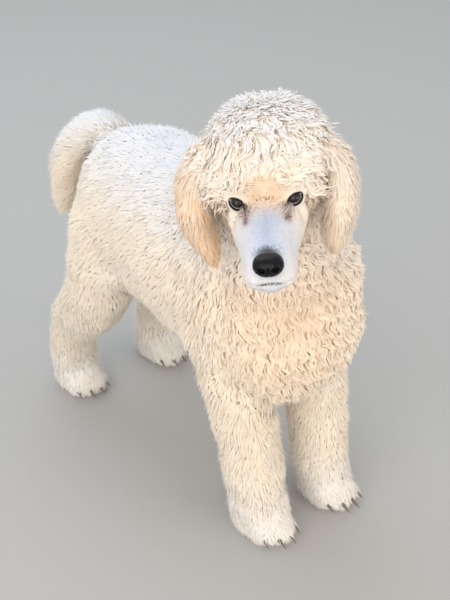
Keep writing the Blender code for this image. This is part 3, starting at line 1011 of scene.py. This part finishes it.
class Coat(NamedTuple):
    """One coat: the solids it grows on, how many locks, and their form.

    ratio is a lock's length over the height of the coat, wave the size of its bends and roundness how far
    they are coils. clump is how far locks are drawn together, and spacing how far clumps are apart. stray
    is how far locks turn from the lie, wisps the share of thin loose ones, relief how far the shading
    follows each lock, bend how far tips lie lower than roots, rise how steeply the locks stand, as a share
    of what takes them to the coat's height, and drift how far the waves fall out of step.
    """

    nodes: tuple
    locks: int
    segments: int
    ratio: float
    width: float
    wave: float
    wavelength: float
    roundness: float = 0.4
    clump: float = 0.12
    spacing: float = 0.010
    stray: float = 0.6
    wisps: float = 0.26
    relief: float = 0.40
    bend: float = -0.10
    rise: float = 1.0
    drift: float = 3.0


COATS = {
    "back": Coat(("trunk",), 33000, 2, 5.0, 0.0024, 0.0009, 0.050, stray=0.45),
    "chest": Coat(
        ("trunk",), 4200, 7, 2.8, 0.0030, 0.0038, 0.018,
        roundness=0.8, clump=0.78, stray=0.36, wisps=0.08, relief=0.5, bend=-0.02,
    ),
    "neck": Coat(
        ("neck",), 3400, 7, 2.9, 0.0029, 0.0034, 0.017,
        roundness=0.7, clump=0.75, stray=0.36, wisps=0.08, relief=0.5, bend=-0.02,
    ),
    "topknot": Coat(
        ("head",), 6600, 8, 3.05, 0.0028, 0.0031, 0.0175, roundness=0.30, clump=0.72, spacing=0.0085,
        stray=0.26, wisps=0.12, relief=0.65, bend=-0.02, rise=0.72, drift=1.8,
    ),
    "ears": Coat(
        EAR_NODES, 8200, 3, 4.2, 0.0019, 0.0016, 0.030,
        clump=0.50, spacing=0.007, stray=0.28, wisps=0.16, relief=0.65,
    ),
    "tail": Coat(("tail",), 6600, 2, 3.6, 0.0024, 0.0012, 0.045, stray=0.65, wisps=0.30),
    "thighs": Coat(both("thigh"), 11500, 2, 4.8, 0.0024, 0.0009, 0.045, stray=0.50),
    "forelegs": Coat(both("foreleg"), 11000, 2, 4.6, 0.0023, 0.0009, 0.045, stray=0.50),
    "shanks": Coat(both("shank"), 7200, 2, 4.6, 0.0023, 0.0009, 0.045, stray=0.50),
    "feet": Coat(
        both("fore_paw") + both("hind_paw"), 5000, 2, 3.8, 0.0018, 0.0006, 0.040, spacing=0.006, stray=0.5,
    ),
    "face": Coat(
        ("head", "neck"), 5500, 2, 1.9, 0.0009, 0.0002, 0.020,
        clump=0.2, spacing=0.004, stray=0.25, wisps=0.0, relief=0.8, bend=0.15,
    ),
}
MOST_TRIANGLES = 190000
# How deep below the skin a lock is rooted, and the least height of coat that its length is worked out from.
ROOT_SINK = 0.0008
LEAST_DEPTH = 0.0016


def zone(name, skin):
    """How densely a coat grows at each point of the skin, as a weight."""
    here = np.isin(skin.names, COATS[name].nodes) * smoothstep(0.001, 0.003, skin.points[:, 2])
    chest = smoothstep(-0.090, -0.125, skin.points[:, 1]) * smoothstep(0.19, 0.23, skin.points[:, 2])
    short = smoothstep(0.0052, 0.0034, skin.depth)
    if name == "back":
        return here * (1 - chest)
    if name == "chest":
        return here * chest
    if name == "neck":
        return here * (1 - skin.bare)
    if name == "topknot":
        return here * (1 - short) * ~in_socket(skin.local) * (1 + 1.2 * bump(skin.local, *DENSE_CROWN))
    if name == "face":
        off_nose = np.linalg.norm(skin.local - [0, -0.085, -0.0295], axis=1) >= 0.0145
        corner = np.minimum(1, 1.5 * both_sides(skin.local, *THIN_CORNER))
        here = here * short * ~in_socket(skin.local) * off_nose
        return here * (1 - lip_line(skin.local)) * (1 - 0.85 * corner)
    return here


def grow_coat(name, skin, seed, material):
    """Grows one coat over the skin and stores it as pieces, one for each solid or stretch of it."""
    coat, rng = COATS[name], np.random.default_rng(seed)
    n = int(coat.locks * bpy.context.scene.poodle_coat.amount)
    corners, shares = skin.sample(zone(name, skin), n, rng)
    fields = (skin.points, skin.depth, skin.ways, skin.normals, skin.soft_normals)
    roots, depth, way, normals, soft = (interpolate(values, corners, shares) for values in fields)
    normals, soft = unit(normals), unit(soft)
    names = skin.names[corners[:, 0]]
    leader = leaders(roots, coat.spacing, seed)
    # A lock isn't drawn across a fold or a gap.
    apart = np.linalg.norm(roots[leader] - roots, axis=1) > 2 * coat.spacing
    apart |= np.sum(soft[leader] * soft, 1) < 0.5
    way = unit(way) + coat.stray * swirl(roots, 32.0, seed) + rng.normal(0, 0.25 * coat.stray, roots.shape)
    way = laid_flat(way, normals)
    wisp = rng.random(n) < coat.wisps
    depth = np.maximum(depth, LEAST_DEPTH)
    lift = coat.rise * np.arcsin(min(0.95, 0.92 / coat.ratio)) * rng.uniform(0.8, 1.15, n) + 0.30 * wisp
    crown = np.zeros(n)
    local = to_head(roots)
    if name == "face":
        depth *= 1 + 0.9 * bump(local, *LONGER_FOREHEAD)
    if name == "topknot":
        # On the crown, where the lie parts, the locks turn every way and some stand up.
        crown = smoothstep(0.042, 0.016, np.linalg.norm((local - [0, 0.060, 0.085]) * [1, 1, 0.5], axis=1))
        way = laid_flat(unit(way + crown[:, None] * rng.normal(0, 0.9, roots.shape)), normals)
        lift += 0.10 * smoothstep(0.060, 0.085, local[:, 2]) + 0.5 * (rng.random(n) < 0.10)
    length = coat.ratio * depth * rng.uniform(0.72, 1.15, n)
    # Locks one behind another bend together, as the waves keep their place on the coat.
    phase = 2 * math.pi * flow(name, roots) / coat.wavelength + rng.normal(0, 0.25, n)
    shape = {
        "length": length,
        "width": coat.width * rng.uniform(0.65, 1.25, n) * np.where(wisp, 0.4, 1.0),
        "lift": lift + coat.bend,
        "tip_lift": lift - coat.bend + rng.normal(0, 0.12, n),
        "wave": coat.wave * np.minimum(1, depth / 0.009) * rng.uniform(0.6, 1.3, n),
        "turns": length / coat.wavelength * rng.uniform(0.92, 1.08, n),
        "phase": phase + coat.drift * swirl(roots, 28.0, seed + 20)[:, 0],
        "clump": coat.clump * rng.uniform(0.6, 1.15, n) * ~(wisp | apart) * (1 - 0.6 * crown),
        "leader": leader,
        "roundness": coat.roundness,
        "relief": coat.relief,
    }
    shape["length"] = length * within(skin.solids, roots, normals, way, shape, depth, rng)
    grown = grow(roots - normals * ROOT_SINK, normals, soft, way, shape, coat.segments, rng)
    # Locks of one clump are alike in colour.
    chance = rng.random(n)[leader] * 0.6 + rng.random(n) * 0.4
    store_coat(name, roots, names, grown, chance, material)


def flow(name, roots):
    """How far along the lie of the coat each root is."""
    if name == "topknot":
        return np.linalg.norm(to_head(roots) - [0.0, 0.062, 0.085], axis=1)
    if name in ("back", "tail"):
        return 0.75 * roots[:, 1] - 0.65 * roots[:, 2]
    return -roots[:, 2]


def within(solids, roots, normals, way, shape, depth, rng):
    """The share of each lock's length that keeps its tip near the outline of the solids."""
    lift = ((shape["lift"] + shape["tip_lift"]) / 2)[:, None]
    tips = roots + shape["length"][:, None] * (np.cos(lift) * way + np.sin(lift) * normals)
    beyond = np.empty(len(tips))
    for i, tip in enumerate(tips.tolist()):
        place, normal, _, distance = solids.find_nearest(tip)
        beyond[i] = math.copysign(distance, (Vector(tip) - place).dot(normal))
    allowed = rng.uniform(0.0, 0.26, len(tips)) * shape["length"].clip(0.008, 0.03)
    return np.where(beyond > allowed, np.clip((depth + allowed) / (depth + beyond), 0.3, 1), 1)


def leaders(roots, spacing, seed):
    """For each lock, the lock nearby whose curve it is drawn to."""
    jitter = swirl(roots, 1 / (3 * spacing), seed + 40) * spacing * 0.5
    cells = np.floor((roots + jitter) / spacing).astype(np.int64)
    # Large primes make one number of a cell's three.
    keys = cells[:, 0] * 73856093 ^ cells[:, 1] * 19349663 ^ cells[:, 2] * 83492791
    _, first, inverse = np.unique(keys, return_index=True, return_inverse=True)
    return first[inverse.ravel()]


def store_coat(name, roots, names, grown, chance, material):
    """Makes a coat's locks into pieces of fewer than MOST_TRIANGLES, each on one solid."""
    segments = COATS[name].segments
    most = MOST_TRIANGLES // (6 * (segments - 1) + 4)
    pieces = []
    for node in sorted(set(names)):
        chosen = np.nonzero(names == node)[0]
        parts = -(-len(chosen) // most)
        chosen = chosen[np.argsort(roots[chosen, 1 if parts > 1 else 2], kind="stable")]
        pieces += [(node, part) for part in np.array_split(chosen, parts)]
    for number, (node, chosen) in enumerate(pieces, 1):
        kind = kind_of(node)
        spots = unwrap(roots[chosen], kind, [np.array(corner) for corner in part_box(node)])
        part = tuple(value[chosen] for value in grown[:3]) + grown[3:]
        mesh = lock_mesh(
            f"coat_{name}_{number}", part, spots, chance[chosen], names[chosen], roots[chosen], segments,
            material,
        )
        finished(new_object(mesh.name, mesh), {"head": "head_coat", "ear": "ear_coat"}.get(kind, "coat"))


class POODLE_OT_coat(bpy.types.Operator):
    """Grows the fluffy coat of body, topknot, ears, tail and legs, and the short fur of the face"""

    bl_idname = "poodle.coat"
    bl_label = "Coat"

    def execute(self, context):
        skin = SkinData()
        hair = coat_material("coat_hair", 0.75, 700.0, 0.0003)
        seed = context.scene.poodle_coat.seed
        # The noise differs from run to run until it is given a seed.
        noise.seed_set(seed)
        for number, name in enumerate(COATS):
            grow_coat(name, skin, seed + number, hair)
        return {"FINISHED"}


def ring_object(name, rows, closed=True):
    """A smooth object from rows of points that each run round in a ring, shut by a fan at both ends."""
    bm = bmesh.new()
    rings = [[bm.verts.new(point) for point in row] for row in rows]
    join_rings(bm, rings)
    for ring in (rings[0], rings[-1]) if closed else ():
        end = bm.verts.new(sum((v.co for v in ring), Vector()) / len(ring))
        for k in range(len(ring)):
            bm.faces.new((ring[k], ring[(k + 1) % len(ring)], end))
    bmesh.ops.recalc_face_normals(bm, faces=bm.faces)
    mesh = mesh_of(bm, name)
    mesh.shade_smooth()
    return new_object(name, mesh)


# The eye's colours by the angle from its pole, where None stands for the iris colour.
PUPIL = (0.002, 0.002, 0.003, 1)
EYE_STOPS = (
    (0.0, PUPIL), (0.21, PUPIL), (0.25, None), (0.55, None),
    (0.62, (0.008, 0.004, 0.003, 1)), (0.80, (0.10, 0.075, 0.065, 1)),
)
STREAK_COLOUR = (0.004, 0.003, 0.003, 1)
# Colour of the painted reflection on the wet tear film along the lids' edge.
TEAR_REFLECTION_COLOUR = (0.55, 0.52, 0.52, 1)
# How far from the pole the cornea reaches, and how far it bulges.
CORNEA_TURN, CORNEA_RISE = 0.62, 0.0007


def wet_edge(way, axis, outer, up):
    """How strongly the painted reflection on the wet tear film inside the lids shows, which is more below
    than above.
    """
    ahead = max(way @ axis, 0.05)
    wide, high = math.atan2(way @ outer, ahead) / LIDS_WIDE, math.atan2(way @ up, ahead) / 0.40
    reach = math.hypot(wide, high)
    return bell(reach - 0.84, 0.09) * (0.35 - 0.65 * high / max(reach, 0.1))


class POODLE_OT_eyes(bpy.types.Operator):
    """Builds the eyeballs and the dark-rimmed lids round them"""

    bl_idname = "poodle.eyes"
    bl_label = "Eyes"

    def execute(self, context):
        ball = self.eye_material(context.scene.poodle_face)
        lid = coat_material("lid_skin", 0.0, 900.0, 0.0003)
        for side, name in ((1, "left"), (-1, "right")):
            finished(self.eyeball(side, name, ball), "eye", f"eye_{name}")
            finished(self.lids(side, name, lid), "head_coat")
        return {"FINISHED"}

    def eyeball(self, side, name, material):
        """A ball with a bulging cornea, whose pole is turned forwards and up."""
        centre, axis, outer, up = eye_axes(side)
        pole = unit(axis * 0.45 + unit(np.array([0, -0.93, 0.33])) * 0.55)
        across = unit(np.cross(pole, [0, 0, 1]))
        over = np.cross(across, pole)
        rows, angles, wet = [], [], []
        for theta in np.linspace(0.03, math.pi - 0.1, 88):
            bulge = math.cos(min(theta / CORNEA_TURN, 1) * math.pi / 2) ** 1.5
            ring = []
            for phi in np.linspace(0, 2 * math.pi, 80, endpoint=False):
                round_pole = across * math.cos(phi) + over * math.sin(phi)
                way = pole * math.cos(theta) + round_pole * math.sin(theta)
                ring.append(Vector(from_head(centre + way * (EYE_RADIUS + CORNEA_RISE * bulge))))
                angles.append(theta)
                wet.append(wet_edge(way, axis, outer, up))
            rows.append(ring)
        obj = ring_object(f"eyeball_{name}", rows)
        # The last two points are those that close the front and the back.
        store(obj.data, "from_pole", "FLOAT", angles + [0.0, math.pi])
        # Where the painted reflection of the tear film lies on the eyeball.
        store(obj.data, "wet_edge", "FLOAT", np.clip(wet + [0.0, 0.0], 0, 1))
        obj.data.materials.append(material)
        return obj

    def eye_material(self, face):
        """Pupil, iris and dark white by the angle from the pole, with streaks and a painted reflection of the
        wet tear film along the lids' edge.
        """
        made, tree, shader = new_material("eye", WET)
        ramp = tree.nodes.new("ShaderNodeValToRGB")
        feed(tree, attribute_node(tree, "from_pole").outputs["Fac"], ramp.inputs[0])
        elements = ramp.color_ramp.elements
        elements.remove(elements[1])
        elements[0].color = EYE_STOPS[0][1]
        for spot, colour in EYE_STOPS[1:]:
            elements.new(spot).color = colour or face.iris
        streaks = calculate(tree, "MULTIPLY", noise_factor(tree, 1400.0, 3.0), 0.45)
        colour = mix_colour(tree, streaks, ramp.outputs[0], STREAK_COLOUR)
        wet = attribute_node(tree, "wet_edge").outputs["Fac"]
        feed(tree, mix_colour(tree, wet, colour, TEAR_REFLECTION_COLOUR), shader.inputs["Base Color"])
        return made

    def lids(self, side, name, material):
        """The skin round the eyeball: a dark rim on the ball, then fur that runs under the face's skin."""
        centre, axis, outer, up = eye_axes(side)
        rim = bpy.context.scene.poodle_face.rim / EYE_RADIUS
        # Angle out from the lids' edge, distance from the eye's centre, and how dark.
        profile = (
            (-0.03, 0.00925, 1.0), (0.00, 0.00965, 1.0), (rim * 0.4, 0.01010, 1.0), (rim, 0.01022, 1.0),
            (rim * 1.5, 0.01024, 0.55), (rim * 2.2, 0.01035, 0.08), (0.40, 0.01055, 0.0),
            (0.55, 0.01050, 0.0), (0.75, 0.01000, 0.0), (0.95, 0.0085, 0.0),
        )
        rows, dark = [], []
        for extra, radius, shade in profile:
            ring = []
            for phi in np.linspace(0, 2 * math.pi, 56, endpoint=False):
                wide, high = lid_edge(phi)
                reach = math.hypot(wide, high)
                across = (outer * wide + up * high) / reach
                way = axis * math.cos(reach + extra) + across * math.sin(reach + extra)
                ring.append(Vector(from_head(centre + way * radius)))
                dark.append(1.6 * shade)
            rows.append(ring)
        obj = ring_object(f"lids_{name}", rows, closed=False)
        points = places(obj.data)
        outwards = np.sum((to_head(points) - centre) * (vertex_normals(obj.data) @ HEAD_TURN), 1)
        if outwards.mean() < 0:
            obj.data.flip_normals()
        paint(obj.data, points, np.full(len(points), "head"), least_dark=np.array(dark))
        obj.data.materials.append(material)
        return obj


# The nose is a ball with squared sides: 2 would be round, and more is squarer.
NOSE_HALF_SIZE = (0.0139, 0.0108, 0.0098)
NOSE_SQUARENESS = 2.5
# Where the middle of a nostril is from the middle of the nose, and its half width and half height.
NOSTRIL_X, NOSTRIL_Z = 0.0060, -0.0012
NOSTRIL_WIDE, NOSTRIL_HIGH = 0.0026, 0.0021


class POODLE_OT_nose(bpy.types.Operator):
    """Builds the nose leather with its nostrils"""

    bl_idname = "poodle.nose"
    bl_label = "Nose"

    def execute(self, context):
        face = context.scene.poodle_face
        nose = ring_object("nose_leather", self.rows(face.nostril_depth))
        made, tree, shader = new_material("nose_leather", LEATHER)
        shader.inputs["Base Color"].default_value = face.nose
        cells = tree.nodes.new("ShaderNodeTexVoronoi")
        feed(tree, 950.0, cells.inputs["Scale"])
        feed(tree, object_place(tree), cells.inputs["Vector"])
        add_relief(tree, shader, cells.outputs["Distance"], 0.0003, strength=0.45, invert=True)
        nose.data.materials.append(made)
        finished(nose, "nose_leather", "nose")
        return {"FINISHED"}

    def rows(self, nostril_depth):
        """Rings of points from the front of the nose to its back."""
        around = np.linspace(0, 2 * math.pi, 120, endpoint=False)
        theta, phi = np.meshgrid(np.linspace(0.02, math.pi - 0.02, 90), around, indexing="ij")
        way = np.stack([np.sin(theta) * np.cos(phi), -np.cos(theta), np.sin(theta) * np.sin(phi)], -1)
        power = NOSE_SQUARENESS
        squared = way / np.sum(np.abs(way) ** power, -1, keepdims=True) ** (1 / power)
        x, y, z = np.moveaxis(squared * NOSE_HALF_SIZE, -1, 0)
        # Narrower below, with a flat front that leans back towards the top.
        x *= 1 - 0.16 * smoothstep(0.0, -0.0100, z)
        y += 0.0022 * smoothstep(0.001, 0.0104, z)
        # Each nostril is a slanting hole that runs out into a slit, with a swollen rim.
        beside = np.abs(x) - NOSTRIL_X
        u, v = beside / NOSTRIL_WIDE, (z - NOSTRIL_Z - 0.25 * beside) / NOSTRIL_HIGH
        hole = np.exp(-((u * u + v * v) ** 1.4))
        slit = np.exp(-(((np.abs(x) - 0.0098) / 0.0030) ** 4)) * bell(z + 0.0026, 0.0010)
        swell = bell(np.hypot(u, v) - 1.5, 0.5)
        groove = bell(x, 0.0008) * smoothstep(0.002, -0.001, z)
        front = smoothstep(0.0, -0.006, y)
        y += front * (nostril_depth * hole + 0.0017 * slit + 0.0010 * groove - 0.0005 * swell)
        centre = to_head(np.array(middle("nose")))
        return [[Vector(point) for point in from_head(row + centre)] for row in np.stack([x, y, z], -1)]


class POODLE_OT_claws(bpy.types.Operator):
    """Sets one curved claw on every toe"""

    bl_idname = "poodle.claws"
    bl_label = "Claws"

    def execute(self, context):
        low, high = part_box(CLAW_NODES[0])
        claw = self.one_claw(high - low)
        toes = bpy.data.meshes.new("claws")
        toes.vertices.add(len(CLAW_NODES))
        set_places(toes, [middle(name) for name in CLAW_NODES])
        claws = new_object("claws", toes)
        horn, tree, shader = new_material("claw_horn", HORN)
        shader.inputs["Base Color"].default_value = context.scene.poodle_face.claw
        add_relief(tree, shader, noise_factor(tree, 500.0, 3.0), 0.0002)
        tree, shape, finish = self.claw_tree()
        live = claws.modifiers.new("claws", "NODES")
        live.node_group = tree
        live[shape.identifier] = claw
        live[finish.identifier] = horn
        modified(claws)
        bpy.data.objects.remove(claw, do_unlink=True)
        finished(claws, "claw", *CLAW_NODES)
        return {"FINISHED"}

    def claw_tree(self):
        """A tree that sets a claw on each point, and its sockets for the claw and its material."""
        tree = bpy.data.node_groups.new("claws_on_toes", "GeometryNodeTree")
        input_socket(tree, "Geometry", "NodeSocketGeometry")
        shape = input_socket(tree, "Claw", "NodeSocketObject")
        finish = input_socket(tree, "Material", "NodeSocketMaterial")
        output_socket(tree, "Geometry", "NodeSocketGeometry")
        inside, outside = tree.nodes.new("NodeGroupInput"), tree.nodes.new("NodeGroupOutput")
        source = tree.nodes.new("GeometryNodeObjectInfo")
        spread = tree.nodes.new("GeometryNodeInstanceOnPoints")
        real = tree.nodes.new("GeometryNodeRealizeInstances")
        horned = tree.nodes.new("GeometryNodeSetMaterial")
        feed(tree, inside.outputs["Claw"], source.inputs["Object"])
        feed(tree, inside.outputs["Geometry"], spread.inputs["Points"])
        feed(tree, source.outputs["Geometry"], spread.inputs["Instance"])
        feed(tree, spread.outputs["Instances"], real.inputs["Geometry"])
        feed(tree, real.outputs["Geometry"], horned.inputs["Geometry"])
        feed(tree, inside.outputs["Material"], horned.inputs["Material"])
        feed(tree, horned.outputs["Geometry"], outside.inputs["Geometry"])
        return tree, shape, finish

    def one_claw(self, size):
        """A claw centred on the origin, that runs forward and curves down to its point."""
        around = np.linspace(0, 2 * math.pi, 14, endpoint=False)
        rows = []
        for t in np.linspace(0, 0.96, 9):
            y = size.y * (0.5 - t)
            z = size.z * (0.16 - 0.05 * t - 0.42 * t * t)
            thick = (1 - t**1.6) * size.z * 0.30 + 0.0002
            wide = (1 - t**1.8) * size.x * 0.44 + 0.0002
            rows.append([Vector((wide * math.cos(a), y, z + thick * math.sin(a))) for a in around])
        return ring_object("one_claw", rows)


class POODLE_OT_stage(bpy.types.Operator):
    """Sets the floor, the lights and the camera"""

    bl_idname = "poodle.stage"
    bl_label = "Stage"

    def execute(self, context):
        scene, stage = context.scene, context.scene.poodle_stage
        bm = bmesh.new()
        bmesh.ops.create_grid(bm, x_segments=1, y_segments=1, size=FLOOR_HALF_SIZE)
        floor = new_object("floor", mesh_of(bm, "floor"))
        paper, _, shader = new_material("plain_floor", PAPER)
        shader.inputs["Base Color"].default_value = stage.floor
        floor.data.materials.append(paper)
        for name, place, share, size, colour in LIGHTS:
            self.light(name, place, stage.key * share, size, colour)
        world = bpy.data.worlds.new("studio")
        world.use_nodes = True
        back = world.node_tree.nodes["Background"]
        back.inputs["Color"].default_value = STUDIO_COLOUR
        back.inputs["Strength"].default_value = STUDIO_STRENGTH
        scene.world = world
        scene.view_settings.view_transform = "Standard"
        self.camera(scene, stage.lens)
        return {"FINISHED"}

    def light(self, name, place, power, size, colour):
        data = bpy.data.lights.new(name, "AREA")
        data.energy, data.size, data.color = power, size, colour
        lamp = new_object(name, data)
        lamp.location = place
        lamp.rotation_mode = "QUATERNION"
        lamp.rotation_quaternion = (Vector(place) - Vector(LIT_POINT)).to_track_quat("Z", "Y")

    def camera(self, scene, lens):
        """The camera stands before the puppy's right shoulder and looks down at its face."""
        data = bpy.data.cameras.new("camera")
        data.sensor_fit = "AUTO"
        data.sensor_width = 36.0
        data.lens = lens
        camera = new_object("camera", data)
        turn, rise, roll = (math.radians(angle) for angle in CAMERA_ANGLES)
        back = Vector((math.sin(turn) * math.cos(rise), -math.cos(turn) * math.cos(rise), math.sin(rise)))
        right = Vector((0, 0, 1)).cross(back).normalized()
        up = back.cross(right)
        rolled = Matrix((
            right * math.cos(roll) + up * math.sin(roll),
            up * math.cos(roll) - right * math.sin(roll),
            back,
        )).transposed().to_4x4()
        rolled.translation = Vector(HEAD_PLACE) + Vector(CAMERA_FROM_EYES)
        camera.matrix_world = rolled
        scene.camera = camera


class POODLE_PT_sidebar(bpy.types.Panel):
    """Sizes, colours and steps of the puppy's looks"""

    bl_label = "Poodle Puppy"
    bl_idname = "POODLE_PT_sidebar"
    bl_space_type = "VIEW_3D"
    bl_region_type = "UI"
    bl_category = "Poodle"

    def draw(self, context):
        layout = self.layout
        for group, _ in SETTINGS:
            settings = getattr(context.scene, group)
            box = layout.box()
            for name in settings.bl_rna.properties.keys():
                if name not in ("rna_type", "name"):
                    box.prop(settings, name)
        for operator in OPERATORS:
            layout.operator(operator.bl_idname)


OPERATORS = (POODLE_OT_skin, POODLE_OT_eyes, POODLE_OT_nose, POODLE_OT_claws, POODLE_OT_coat, POODLE_OT_stage)
SETTINGS = (
    ("poodle_coat", PoodleCoatSettings),
    ("poodle_face", PoodleFaceSettings),
    ("poodle_stage", PoodleStageSettings),
)


def register():
    for name, group in SETTINGS:
        bpy.utils.register_class(group)
        setattr(bpy.types.Scene, name, PointerProperty(type=group))
    for entry in (*OPERATORS, POODLE_PT_sidebar):
        bpy.utils.register_class(entry)


def unregister():
    for entry in reversed((*OPERATORS, POODLE_PT_sidebar)):
        bpy.utils.unregister_class(entry)
    for name, group in reversed(SETTINGS):
        delattr(bpy.types.Scene, name)
        bpy.utils.unregister_class(group)


def main():
    register()
    bpy.ops.poodle.skin()
    bpy.ops.poodle.eyes()
    bpy.ops.poodle.nose()
    bpy.ops.poodle.claws()
    bpy.ops.poodle.coat()
    bpy.ops.poodle.stage()


if __name__ == "__main__":
    main()
